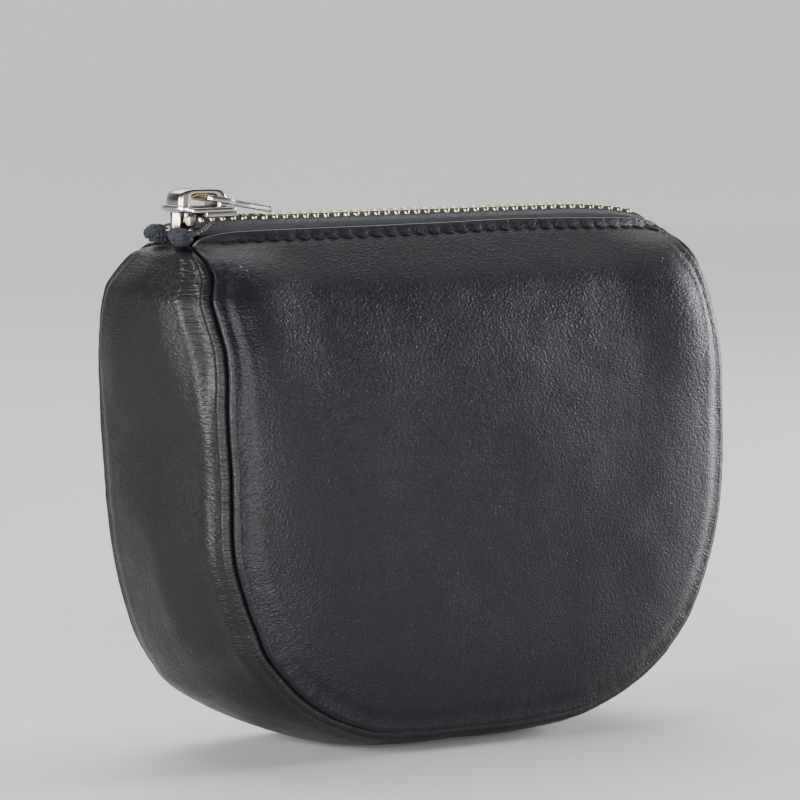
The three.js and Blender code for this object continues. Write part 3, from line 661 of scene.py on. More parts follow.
M_TEETH = metal_material("teeth_antique_nickel", (0.36, 0.325, 0.235), (0.075, 0.066, 0.050), 0.27, 3.0, 1.6, 0.015)
M_SLIDER = metal_material("slider_dark_nickel", (0.43, 0.41, 0.39), (0.22, 0.208, 0.195), 0.18, 11.0, 0.5, 0.012)
M_BRASS = metal_material("spring_brass", (0.72, 0.50, 0.20), (0.40, 0.27, 0.10), 0.26, 5.0, 1.0, 0.01)


# ------------------------------------------------------------------------------------------------
# how far each place follows the lip when the mouth opens
# ------------------------------------------------------------------------------------------------
LIP_X = np.array([[-58, 0], [-54, 0.015], [-50, 0.06], [-44, 0.17], [-36, 0.40], [-26, 0.72], [-14, 0.95], [0, 1.0], [14, 0.95], [26, 0.74],
                  [34, 0.46], [40, 0.20], [43.5, 0.065], [47, 0.0]])


def lip_share(x, z):
    lens = pchip(LIP_X[:, 0], LIP_X[:, 1], np.clip(x, -58, 47))
    return lens * sstep(46, 96, z)


def to_lip(ob, centres=None):
    """Bakes ob's transform and works out each vertex's share of the lip's movement, but keeps it nowhere. centres gives
    each vertex the place whose share it takes.
    """
    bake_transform(ob)
    co = np.zeros(len(ob.data.vertices) * 3, np.float32)
    ob.data.vertices.foreach_get("co", co)
    p = co.reshape(-1, 3) / MM if centres is None else np.asarray(centres, float)
    w = lip_share(p[:, 0], p[:, 2]).astype(np.float32)


# ------------------------------------------------------------------------------------------------
# leather panels
# ------------------------------------------------------------------------------------------------
# the rim: the seam, then back along the cut edge beside the zip
EDGE_PTS = np.array([[seam_xz[-1, 0], seam_xz[-1, 1]], [55.9, 99.7], [54.6, 100.2], [52, 100.8], [48, 101.2], [36, 101.6], [18, 101.9], [0, 101.7],
                     [-18, 101.55], [-36, 101.5], [-46, 101.4], [-52, 101.1], [-56.2, 100.35], [-58.4, 99.6], [seam_xz[0, 0], seam_xz[0, 1]]], float)
edge_xz, edge_s = smooth_curve(EDGE_PTS, STEP)
# two points near each end belong to the seam already
rim_xz = np.vstack([seam_xz, edge_xz[1:-1]])
N_SEAM = len(seam_xz)


# the turned edges on both sides of the seam are rolls that touch each other along its bisector
PANEL_R, PANEL_A0 = 1.05, 0.62
GUSSET_R, GUSSET_A0 = 1.35, 0.72


def roll_base(r, a0):
    return r * (math.sqrt(2) - 1) - a0


def roll(a, r, a0, scale=1.0):
    """Height of a turned edge of radius r at distance a from the seam."""
    k = np.clip(a0 * scale + r - np.asarray(a, float), 0, r)
    return roll_base(r / scale, a0) * scale + np.sqrt(np.maximum(r * r - k * k, 0))


def panel_height(x, z, a, s, c, side):
    """How far the outer face of a panel stands out of the depth table. a: distance from the seam, s: place along it,
    c: distance from the cut edge, side: -1 front, 1 back."""
    up = sstep(60, 86, z)
    lam = 9.5 - 3.5 * up
    r = PANEL_R * (1 + 0.08 * vnoise(s * 0.09, 0.5, 3) * np.exp(-a / 3.0))
    h1 = roll(a, r, PANEL_A0)
    # a shallow valley beside the roll, then the fullness of the panel
    full = 3.5 * (1 - np.exp(-np.maximum(a - 1.8, 0) / lam))
    at2 = 2.8 + 0.25 * vnoise(s * 0.05, 2.5, 5) + 0.5 * (1 - up)
    valley = -0.42 * np.exp(-((a - at2) / (0.6 + 0.5 * (1 - up))) ** 2) * (0.5 + 0.5 * up)
    ridge2 = 0.26 * np.exp(-((a - at2 - 1.15 - 1.2 * (1 - up)) / (0.75 + 0.9 * (1 - up))) ** 2) * (0.35 + 0.65 * up)
    h = h1 + full + valley + ridge2
    # small cross puckers that the seam draws up
    pk = vnoise(s * 0.55, a * 0.16, 11) + 0.5 * vnoise(s * 1.25, a * 0.25, 12)
    h += 0.060 * pk * np.exp(-((a - 2.4) / 3.2) ** 2)
    # soft unevenness of a hand-filled purse
    big = fnoise(x / 33.0 + side * 7, z / 27.0, 31)
    mid = fnoise(x / 12.0 + side * 3, z / 14.0, 41)
    h += (0.42 * big + 0.085 * mid) * sstep(3, 18, a) * sstep(1, 12, c)
    # beside the zip the fullness fades out
    h = h * (0.10 + 0.90 * sstep(0, 13, c)) + 0.12 * (1 - sstep(0, 13, c))
    return h


STITCH_PITCH, STITCH_LEN, STITCH_IN = 3.5, 2.6, 1.75
stitch_x = np.arange(-51.6, 56.0, STITCH_PITCH)


def edge_z(x):
    """Height of the cut edge over x."""
    o = np.argsort(edge_xz[:, 0])
    return np.interp(x, edge_xz[o, 0], edge_xz[o, 1])


def stitch_groove(x, z, c):
    """The line that the stitches press into the leather, deepest at each needle hole."""
    on = sstep(-55.5, -51, x) * (1 - sstep(54, 57, x))
    ph = (x - stitch_x[0] + STITCH_PITCH * 0.5) / STITCH_PITCH
    hole = np.cos(np.pi * ph) ** 8
    line = np.exp(-((c - STITCH_IN) / 0.62) ** 2)
    pull = np.exp(-((c - STITCH_IN) / 1.5) ** 2)
    puff = np.exp(-((c - 0.9) / 0.7) ** 2) + 0.7 * np.exp(-((c - 3.9) / 1.0) ** 2)
    return on * (-0.26 * line - 0.09 * hole * pull + 0.07 * puff * (1 - 0.35 * hole)) + 0.05 * vnoise(x * 0.5, c * 0.4, 77) * pull


def build_panel(side):
    """One panel as a closed skin: rim rings set in from the seam and the cut edge, then rings to the middle."""
    n = len(rim_xz)
    mid = np.array([0.0, 50.0])
    # inward normals of the rim
    nin = np.zeros((n, 2))
    nin[:N_SEAM] = -seam_n
    t = np.gradient(edge_xz, axis=0)
    t /= np.linalg.norm(t, axis=1)[:, None]
    ne = np.c_[-t[:, 1], t[:, 0]]
    ne[(ne * (mid - edge_xz)).sum(1) < 0] *= -1
    nin[N_SEAM:] = ne[1:-1]
    # soften the corner where the seam meets the cut edge, so that the inner rings don't cross
    sm = nin.copy()
    for _ in range(14):
        sm = (np.roll(sm, 1, 0) + 2 * sm + np.roll(sm, -1, 0)) / 4
        sm /= np.linalg.norm(sm, axis=1)[:, None]
    ring_a = [0.62, 0.64, 0.7, 0.8, 0.94, 1.12, 1.36, 1.64, 1.95, 2.25, 2.55, 2.85, 3.15, 3.5, 3.9, 4.3, 4.8, 5.4, 6.0]
    past = np.zeros(n)
    past[N_SEAM:] = np.minimum(edge_s, edge_s[-1] - edge_s)[1:-1]
    lead_in = PANEL_A0 * (1 - sstep(0, 3.5, past))
    rings = []
    for a in ring_a:
        w = sstep(0, 4.0, a)
        d = nin * (1 - w) + sm * w
        d /= np.linalg.norm(d, axis=1)[:, None]
        k_ = (a - PANEL_A0) / (6.0 - PANEL_A0)
        rings.append(rim_xz + d * (lead_in + (6.0 - lead_in) * k_)[:, None])
    base = rings[-1]
    k = 84
    for j in range(1, k):
        f = 1 - j / k
        rings.append(mid + (base - mid) * f)
    xz = np.stack(rings, 1)  # n, m, 2
    m = xz.shape[1]
    flat = xz.reshape(-1, 2)
    a, where = nearest(seam_xz, flat)
    c, _ = nearest(edge_xz, flat)
    s = np.interp(where, np.arange(N_SEAM), seam_s)
    x, z = flat[:, 0], flat[:, 1]
    # the turned seam fades out where the cut edge starts
    y = depth_at(x, z) + panel_height(x, z, a, s, c, side) + stitch_groove(x, z, c)
    y = y.reshape(n, m)
    X, Z = xz[..., 0], xz[..., 1]
    outer = np.stack([X, side * y, Z], -1)
    # the seam's side goes on into the groove, the cut edge has square shoulders
    lead_o, lead_i = [], []
    seam_row = np.zeros(n, bool)
    seam_row[:N_SEAM] = True
    for dn, dy in ((0.60, -0.98), (0.141, -0.525)):
        p = xz[:, 0] + nin * dn
        yy = np.where(seam_row, y[:, 0] + dy, y[:, 0])
        px = np.where(seam_row[:, None], p, rim_xz)
        lead_o.append(np.stack([px[:, 0], side * yy, px[:, 1]], -1))
    outer = np.concatenate([np.stack(lead_o, 1), outer], 1)
    # inner face: fewer rings would do, but the same grid keeps it simple
    th = LEATHER
    gx, gz = X, Z
    yi = y - th
    keep = sstep(0.0, 2.6, a).reshape(n, m)
    inset = np.where(seam_row[:, None], (1 - keep) * 1.15, 0.0)
    dirn = nin[:, None, :]
    ix = gx + dirn[..., 0] * inset
    iz = gz + dirn[..., 1] * inset
    inner = np.stack([ix, side * (yi + np.where(seam_row[:, None], (1 - keep) * 0.25, 0)), iz], -1)
    lead_i = []
    for (dn, dy), (en, ey) in zip(((0.60, -0.98), (0.141, -0.525)), ((0.95, -0.5), (1.0, -0.7))):
        p = xz[:, 0] + nin * (dn + en)
        yy = np.where(seam_row, y[:, 0] + dy + ey, yi[:, 0])
        px = np.where(seam_row[:, None], p, rim_xz)
        lead_i.append(np.stack([px[:, 0], side * yy, px[:, 1]], -1))
    inner = np.concatenate([np.stack(lead_i, 1), inner], 1)
    # on the cut edge the lead rings would fall together: spread them over the thickness of the edge
    cut = ~seam_row
    for j, f in ((0, 0.62), (1, 0.12)):
        o, i = outer[cut, 2], inner[cut, 2]
        outer[cut, j] = o * (1 - f) + i * f
        outer[cut, j, 2] += 0.06 * math.sin(math.pi * f)
        inner[cut, j] = o * (1 - (0.62 + 0.3 * (1 - j) * 0 + 0.38 * (1 if j else 0.55))) + i * (0.62 + 0.38 * (1 if j else 0.55))
    inner[cut, 1] = inner[cut, 2] * 0.98 + outer[cut, 2] * 0.02
    inner[cut, 0] = inner[cut, 2] * 0.80 + outer[cut, 2] * 0.20
    M = outer.shape[1]
    verts = np.vstack([outer.reshape(-1, 3), inner.reshape(-1, 3), [[0, 0, 0], [0, 0, 0]]])
    cy = outer[:, -1, 1].mean()
    verts[-2] = (mid[0], cy, mid[1])
    verts[-1] = (mid[0], cy - side * th, mid[1])
    faces, tags = shell_faces(n, M, True, 0, n * M)
    keepf = tags != 3
    faces, tags = faces[keepf], tags[keepf]
    i = np.arange(n)
    i2 = (i + 1) % n
    fan_o = [[int(p), int(q), len(verts) - 2] for p, q in zip(i * M + M - 1, i2 * M + M - 1)]
    fan_i = [[int(q), int(p), len(verts) - 1] for p, q in zip(n * M + i * M + M - 1, n * M + i2 * M + M - 1)]
    allf = [list(f) for f in faces] + fan_o + fan_i
    idx = []
    col = (faces.min(1) % M)
    row = faces.min(1) // M
    # materials: 0 grain side, 1 inner side, 2 cut edge
    ncut = lambda r: (r % n) >= N_SEAM
    for f, tg, cc, rr in zip(faces, tags, col, row):
        if tg == 0:
            lo = min(v % M for v in f)
            cutf = all(((v // M) % n) >= N_SEAM or ((v // M) % n) in (0, N_SEAM - 1) for v in f)
            idx.append(2 if (cutf and lo < 2) else 0)
        elif tg == 1:
            idx.append(1)
        else:
            idx.append(2)
    idx += [0] * n + [1] * n
    pq = verts[:, [0, 2, 1]].copy()
    name = "front_panel_leather" if side < 0 else "back_panel_leather"
    ob = new_mesh(name, verts, allf, mats=[M_FRONT if side < 0 else M_BACK, M_FLESH, M_EDGE], pq=pq, mat_index=idx)
    sa = np.zeros((n, M, 3))
    sa[:, 2:, 0], sa[:, 2:, 1] = s.reshape(n, m), a.reshape(n, m)
    sa[:, :2, 0], sa[:, :2, 1] = sa[:, 2:3, 0], 0.3
    sa = np.vstack([sa.reshape(-1, 3), sa.reshape(-1, 3), [[0, 50, 0], [0, 50, 0]]])
    set_attr(ob, "sa", sa)
    fix_normals(ob)
    return ob, lambda px, pz: float(0)


def panel_surface(x, z, side):
    """Outer face of a panel over x, z, without its stitch groove."""
    pts = np.c_[np.atleast_1d(x), np.atleast_1d(z)].astype(float)
    a, where = nearest(seam_xz, pts)
    c, _ = nearest(edge_xz, pts)
    s = np.interp(where, np.arange(N_SEAM), seam_s)
    return depth_at(pts[:, 0], pts[:, 1]) + panel_height(pts[:, 0], pts[:, 1], a, s, c, side) + stitch_groove(pts[:, 0], pts[:, 1], c)


# ------------------------------------------------------------------------------------------------
# gusset
# ------------------------------------------------------------------------------------------------
def gusset_crown(s, x, z):
    """How far the middle of the gusset stands out of its seams."""
    left_up = sstep(60, 84, z) * (1 - sstep(89, 98, z)) * (0.35 + 0.65 * sstep(10, -10, x))
    return 2.5 - 0.55 * sstep(4, 24, z) + 3.4 * left_up


def build_gusset():
    m = 97
    v = np.linspace(-1, 1, m)
    # columns closer together by the seams
    v = np.sign(v) * (1 - (1 - np.abs(v)) ** 1.45)
    n = len(seam_xz)
    S = np.repeat(seam_s[:, None], m, 1)
    D = seam_d[:, None]
    tight = np.clip(D / 14.0, 0.35, 1)
    Y = v[None, :] * (D - GUSSET_A0 * tight)
    b = D - np.abs(Y)  # distance from the nearest seam
    z0 = seam_xz[:, 1][:, None]
    x0 = seam_xz[:, 0][:, None]
    up = sstep(60, 86, z0)
    r = GUSSET_R * (1 + 0.08 * vnoise(S * 0.09, 4.5, 23)) * tight
    h1 = roll(b, r, GUSSET_A0, tight)
    crown = gusset_crown(S, x0, z0) * tight
    at2 = (3.5 + 0.4 * vnoise(S * 0.05, np.sign(Y) + 8.5, 25)) * tight
    low = (1 - sstep(8, 26, z0))
    valley = -0.36 * np.exp(-((b - at2) / (0.95 * tight)) ** 2) * (0.45 + 0.55 * up) * (1 - 0.7 * low)
    ridge2 = 0.26 * np.exp(-((b - at2 - 2.0 * tight) / (1.3 * tight)) ** 2) * (0.4 + 0.6 * up) * (1 - 0.8 * low)
    full = crown * (1 - np.exp(-np.maximum(b - 2.2 * tight, 0) / (5.5 * tight)))
    h = h1 + full + valley + ridge2
    pk = vnoise(S * 0.5, b * 0.16 + np.sign(Y) * 3, 51) + 0.5 * vnoise(S * 1.2, b * 0.25, 52)
    h = h + 0.06 * pk * np.exp(-((b - 2.4) / 3.4) ** 2)
    big = fnoise(S / 26.0, Y / 21.0, 61)
    mid = fnoise(S / 7.0, Y / 16.0, 71)
    h = h + (0.32 * big + 0.07 * mid) * sstep(2.5, 10, b) * (0.25 + 0.75 * sstep(2, 16, z0))
    nx, nz = seam_n[:, 0][:, None], seam_n[:, 1][:, None]
    X = x0 + nx * h
    Z = z0 + nz * h
    # it stands on the floor
    fl = 0.02
    Z = np.where(Z < fl + 0.5, fl + 0.5 * np.exp((Z - fl - 0.5) / 0.5), Z)
    outer = np.stack([np.broadcast_to(X, Y.shape), np.broadcast_to(Y, Y.shape), Z], -1)
    th = LEATHER
    hi = h - th
    Yi = np.sign(Y) * np.minimum(np.abs(Y), np.maximum(D - 1.15 * np.minimum(1, D / 9) - 0.0, 0.5))
    Xi, Zi = x0 + nx * hi, z0 + nz * hi
    Zi = np.maximum(Zi, Z + 0.75 * np.clip(-nz, 0, 1))
    inner = np.stack([Xi, np.broadcast_to(Yi, Xi.shape), Zi], -1)
    # the deep edges of the seam
    def lead(P, dn, dy, col):
        q = P[:, col].copy()
        s = np.sign(q[:, 1])
        q[:, 0] = seam_xz[:, 0] + seam_n[:, 0] * (h[:, col] + dn * tight[:, 0])
        q[:, 2] = np.maximum(seam_xz[:, 1] + seam_n[:, 1] * (h[:, col] + dn * tight[:, 0]), 0.4)
        q[:, 1] = s * (seam_d + dy * tight[:, 0])
        return q
    L = []
    for dn, dy in ((-1.25, -1.50), (-0.675, -0.90)):
        L.append(lead(outer, dn, dy, 0))
    R = []
    for dn, dy in ((-0.675, -0.90), (-1.25, -1.50)):
        R.append(lead(outer, dn, dy, -1))
    outer = np.concatenate([np.stack(L, 1), outer, np.stack(R, 1)], 1)
    L = []
    for dn, dy in ((-2.2, -2.5), (-1.6, -2.1)):
        L.append(lead(inner, dn, dy, 0))
    R = []
    for dn, dy in ((-1.6, -2.1), (-2.2, -2.5)):
        R.append(lead(inner, dn, dy, -1))
    inner = np.concatenate([np.stack(L, 1), inner, np.stack(R, 1)], 1)
    # both ends are turned in under the zip
    for end in (0, 1):
        for P in (outer, inner):
            for k in range(n):
                e = seam_s[k] if end == 0 else seam_s[-1] - seam_s[k]
                if e > 3.2:
                    continue
                t = 1 - e / 3.2
                sx = 1 if end == 0 else -1
                P[k, :, 0] += sx * 1.9 * t * t
                P[k, :, 2] -= 0.9 * t * t
    SY = np.stack([np.repeat(seam_s[:, None], outer.shape[1], 1), outer[..., 1], np.zeros(outer.shape[:2])], -1)
    ob = shell("gusset_leather", outer, inner, [M_GUSSET, M_FLESH, M_EDGE], SY, SY + [0, 0, 2],
               face_mat=lambda t: np.where(t == 0, 0, np.where(t == 1, 1, 2)).tolist())
    sa = np.stack([SY[..., 0] + 300 * (SY[..., 1] > 0), np.concatenate([0 * b[:, :2] + 0.3, b, 0 * b[:, :2] + 0.3], 1), 0 * SY[..., 0]], -1)
    set_attr(ob, "sa", np.vstack([sa.reshape(-1, 3), sa.reshape(-1, 3)]))
    return ob


front, _ = build_panel(-1)
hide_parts("front_panel", "front_panel_lip"); to_lip(front)
back, _ = build_panel(1)
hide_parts("back_panel", "back_panel_lip"); to_lip(back)
gusset = build_gusset()
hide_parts("gusset"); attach(gusset, "root")


# ------------------------------------------------------------------------------------------------
# topstitching
# ------------------------------------------------------------------------------------------------
def build_stitches(side, name):
    parts, centres = [], []
    for k, x in enumerate(stitch_x):
        wob = 0.09 * _hash(np.array([k]), np.array([side + 5]), 9)[0]
        xs = np.linspace(x - STITCH_LEN / 2, x + STITCH_LEN / 2, 9)
        zz = edge_z(xs) - STITCH_IN + wob * np.linspace(-1, 1, 9)
        yy = panel_surface(xs, zz, side)
        t = np.linspace(-1, 1, 9)
        lift = 0.16 * (1 - t ** 4) - 0.42 * np.abs(t) ** 5
        p = np.c_[xs, side * (yy + lift), zz]
        v, f = tube(p, 0.27 * (1 - 0.25 * np.abs(t) ** 3), 8)
        parts.append((v, f))
        centres += [[x, 0, TOP_Z]] * len(v)
    V, F = join(parts)
    ob = new_mesh(name, V, F, mats=[M_STITCH], pq=V)
    return ob, centres


for side, nm, lip in ((-1, "front", "front_lip"), (1, "back", "back_lip")):
    st, ctr = build_stitches(side, "topstitch_%s_thread" % nm)
    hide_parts("topstitch_" + nm)
    to_lip(st)

# ------------------------------------------------------------------------------------------------
# zip tape: its bead beside the teeth, the visible slope, and the part behind the leather
# ------------------------------------------------------------------------------------------------
CHAIN_DROP = np.array([[-70, 0], [36, 0], [42, -0.3], [46, -0.6], [50, -1.1], [53, -1.8], [55, -2.7], [57, -4.2], [60, -7]])


def chain_drop(x):
    return pchip(CHAIN_DROP[:, 0], CHAIN_DROP[:, 1], np.clip(x, -70, 60))


def build_tape(side, name):
    sx = 0.16
    xs = np.arange(-55.4, 56.6, sx)
    prof = np.array([[2.3, 103.75], [2.5, 104.12], [2.85, 104.25], [3.25, 104.10], [3.6, 103.84], [4.1, 103.55], [4.7, 103.15],
                     [5.25, 102.6], [5.65, 101.9], [5.95, 101.0], [6.1, 99.8], [6.5, 97.5], [7.5, 94.5], [8.8, 91.5]])
    L = np.r_[0, np.cumsum(np.linalg.norm(np.diff(prof, axis=0), axis=1))]
    q = np.linspace(0, L[-1], 64)
    py, pz = pchip(L, prof[:, 0], q), pchip(L, prof[:, 1], q)
    ty, tz = np.gradient(py), np.gradient(pz)
    ln = np.hypot(ty, tz)
    ny, nz = -tz / ln, ty / ln
    flip = np.where(nz < 0, -1, 1)
    ny, nz = ny * flip, nz * flip
    X, Qm = np.meshgrid(xs, q, indexing="ij")
    w = np.abs(np.mod(Qm + 40.0, 2.4) - 1.2)
    rib = np.sin((X + w * 1.3) * 9.0)
    uneven = 0.07 * vnoise(X * 0.35, Qm * 0.5, 5 + side)
    hgt = 0.055 * rib + uneven
    drop = chain_drop(xs)[:, None] - 0.45
    th = 0.5
    wob = 0.10 * vnoise(X * 0.12, Qm * 0.1, 9 + side)
    lim = depth_at(X, np.minimum(pz[None, :] + 0 * X, 101.2)) - LEATHER - 0.25
    PY = py[None, :] + ny[None, :] * hgt + wob * sstep(3.5, 6, py)[None, :]
    PZ = pz[None, :] + nz[None, :] * hgt + drop
    below = pz[None, :] < 101.6
    PY = np.where(below, np.minimum(PY, np.maximum(lim, 5.0)), PY)
    endt = np.maximum(sstep(-52, -57, X), sstep(53, 57.5, X))
    PY = PY * (1 - 0.12 * endt)
    IY = PY - ny[None, :] * th
    IZ = PZ - nz[None, :] * th
    outer = np.stack([X, side * PY, PZ], -1)
    inner = np.stack([X, side * IY, IZ], -1)
    pq = np.stack([X, Qm, 0 * X], -1)
    return shell(name, outer, inner, [M_TAPE], pq, pq + [0, 0, 1])


for side, nm, lip in ((-1, "front", "front_lip"), (1, "back", "back_lip")):
    tp = build_tape(side, "zip_tape_%s_weave" % nm)
    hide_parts("zip_tape_%s" % nm, "zip_tape_%s_start" % nm, "zip_tape_%s_end" % nm)
    to_lip(tp)


# ------------------------------------------------------------------------------------------------
# zip teeth
# ------------------------------------------------------------------------------------------------
def tooth(side, x, tilt, twist):
    """One tooth clenched over the bead, as rounded sections from its heel to its head."""
    sec = [(-3.52, 0.30, 0.50, 0), (-3.46, 0.46, 0.86, 0), (-3.30, 0.58, 1.05, 0), (-3.0, 0.64, 1.16, 0), (-2.5, 0.66, 1.20, 0.0), (-2.05, 0.64, 1.16, 0),
           (-1.7, 0.58, 1.02, 0.0), (-1.35, 0.50, 0.90, 0), (-0.8, 0.47, 0.86, 0.02), (-0.3, 0.48, 0.92, 0.05), (0.15, 0.49, 0.95, 0.06),
           (0.5, 0.47, 0.86, 0.03), (0.72, 0.38, 0.66, 0), (0.80, 0.20, 0.36, 0)]
    k = 14
    V, F = [], []
    ang = np.arange(k) / k * 2 * np.pi
    ca, sa = np.cos(ang), np.sin(ang)
    e = 0.62
    for y, hx, hz, dz in sec:
        hz = hz * 0.78
        px = np.sign(ca) * np.abs(ca) ** e * hx
        pz = np.sign(sa) * np.abs(sa) ** e * hz + dz
        px = px + tilt * (y + 1.5)
        pz = pz + twist * px
        for a, b in zip(px, pz):
            V.append([x + a, -side * y, CHAIN_Z + chain_drop(x) + b])
    for i in range(len(sec) - 1):
        for j in range(k):
            j2 = (j + 1) % k
            F.append([i * k + j, i * k + j2, (i + 1) * k + j2, (i + 1) * k + j])
    F.append(list(range(k))[::-1])
    F.append([(len(sec) - 1) * k + j for j in range(k)])
    return V, F


def build_teeth(side, name):
    parts, ctr = [], []
    x = -54.2 + (PITCH / 2 if side > 0 else 0)
    k = 0
    while x < 53.6:
        r = _hash(np.array([k]), np.array([side + 3]), 19)[0]
        r2 = _hash(np.array([k]), np.array([side + 9]), 29)[0]
        v, f = tooth(side, x, 0.012 * r, 0.03 * r2)
        parts.append((v, f))
        ctr += [[x, 0, 110.0]] * len(v)
        x += PITCH
        k += 1
    V, F = join(parts)
    ob = new_mesh(name, V, F, mats=[M_TEETH], pq=V)
    fix_normals(ob)
    return ob, ctr


for side, nm, lip in ((-1, "front", "front_lip"), (1, "back", "back_lip")):
    th_, ctr = build_teeth(side, "zip_teeth_%s" % nm)
    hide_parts("teeth_%s" % nm, "teeth_%s_tail" % nm)
    to_lip(th_, ctr)

# stops
for side, nm in ((-1, "front"), (1, "back")):
    o = plate("top_stop_%s_clip" % nm, round_path([(-56.9, -1.05), (-55.2, -1.05), (-55.2, 1.05), (-56.9, 1.05)], 0.4), [], 1.15, 0.22, [M_TEETH],
              lambda x, y, z, s=side: (x, s * (2.38 + z), CHAIN_Z + y))
    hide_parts("top_stop_" + nm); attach(o, "root")
o = plate("bottom_stop_clip", round_path([(-2.7, -1.15), (2.7, -1.15), (2.7, 1.15), (-2.7, 1.15)], 0.5), [], 1.0, 0.25, [M_TEETH],
          lambda x, y, z: (56.0 + z, x * 0.8, CHAIN_Z + float(chain_drop(56.0)) + y * 0.8))
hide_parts("bottom_stop"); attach(o, "root")

# ------------------------------------------------------------------------------------------------
# slider
# ------------------------------------------------------------------------------------------------
SX, SL = -59.5, 13.4
T0, B1 = CHAIN_Z + 1.65, CHAIN_Z - 1.3


def smooth_closed(pts, n=96):
    p = np.asarray(pts, float)
    p = np.vstack([p[-2:], p, p[:2]])
    out = []
    for k in range(1, len(p) - 2):
        t = np.linspace(0, 1, 8, endpoint=False)[:, None]
        a, b, c, d = p[k - 1], p[k], p[k + 1], p[k + 2]
        out.append(0.5 * ((2 * b) + (-a + c) * t + (2 * a - 5 * b + 4 * c - d) * t * t + (-a + 3 * b - 3 * c + d) * t ** 3))
    q = np.vstack(out)[8:-8]
    return [tuple(x) for x in q]


def slider_plan(w):
    half = [(0.0, 1.2), (0.25, 2.6), (0.9, 3.9), (2.2, 4.75), (3.8, 4.9), (6.0, 4.75), (9.0, 4.45), (12.2, 4.2), (13.1, 3.9), (13.4, 3.0)]
    pts = [(x, -y * w) for x, y in half] + [(x, y * w) for x, y in reversed(half)]
    return round_path(pts, 0.5, 4)


def bend_plate(z0, sgn):
    """Places a slider plate; its front is turned away a little, so that the mouth of the slider opens."""
    def f(x, y, z):
        lift = 0.42 * float(sstep(3.0, 0.0, x)) * sgn
        side_ = 0.10 * abs(y) / 4.9 * -sgn * 1.6
        return (SX + x, y, z0 + z + lift + side_)
    return f


slider_parts = []
top = plate("slider_top_plate", slider_plan(1.0), [], 1.0, 0.3, [M_SLIDER], bend_plate(T0 + 0.5, 1))
bot = plate("slider_bottom_plate", slider_plan(0.965), [], 1.0, 0.32, [M_SLIDER], bend_plate(B1 - 0.5, -1))
slider_parts += [top, bot]
post = plate("slider_wedge", round_path([(0.6, -0.55), (1.6, -1.3), (3.2, -0.9), (4.6, -0.12), (4.6, 0.12), (3.2, 0.9), (1.6, 1.3), (0.6, 0.55)], 0.4), [], 3.3, 0.15, [M_SLIDER],
             lambda x, y, z: (SX + x, y, CHAIN_Z + z))
slider_parts.append(post)
for s in (-1, 1):
    for part, zc, hh in (("upper", CHAIN_Z + 1.22, 1.1), ("lower", CHAIN_Z - 1.0, 0.9)):
        o = plate("slider_flange_%s_%s" % (part, "front" if s < 0 else "back"),
                  round_path([(5.5, 3.75), (9.6, 3.4), (13.3, 3.3), (13.3, 4.15), (9.8, 4.4), (5.5, 4.8)][:: (1 if s > 0 else 1)], 0.3), [], hh, 0.2, [M_SLIDER],
                  lambda x, y, z, s=s, zc=zc: (SX + x, s * y, zc + z))
        slider_parts.append(o)
for x0, x1 in ((1.6, 2.6), (10.2, 11.2)):
    o = plate("slider_seat_%d" % int(x0), round_path([(x0, -1.2), (x1, -1.2), (x1, 1.2), (x0, 1.2)], 0.3), [], 1.3, 0.15, [M_SLIDER],
              lambda x, y, z: (SX + x, y, T0 + 0.95 + z))
    slider_parts.append(o)


def merge(objs, name):
    """Joins finished meshes into one object."""
    for o in objs:
        bpy.context.view_layer.update()
    dg = bpy.context.evaluated_depsgraph_get()
    bm = bmesh.new()
    mats = []
    pqs = []
    for o in objs:
        me = bpy.data.meshes.new_from_object(o.evaluated_get(dg))
        bm.from_mesh(me)
    me = bpy.data.meshes.new(name)
    bm.to_mesh(me)
    bm.free()
    me.materials.append(objs[0].data.materials[0])
    me.polygons.foreach_set("use_smooth", [True] * len(me.polygons))
    ob = bpy.data.objects.new(name, me)
    bpy.context.scene.collection.objects.link(ob)
    for o in objs:
        bpy.data.objects.remove(o)
    return ob


body = merge(slider_parts, "slider_plates")
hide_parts("slider_body"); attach(body, "slider")

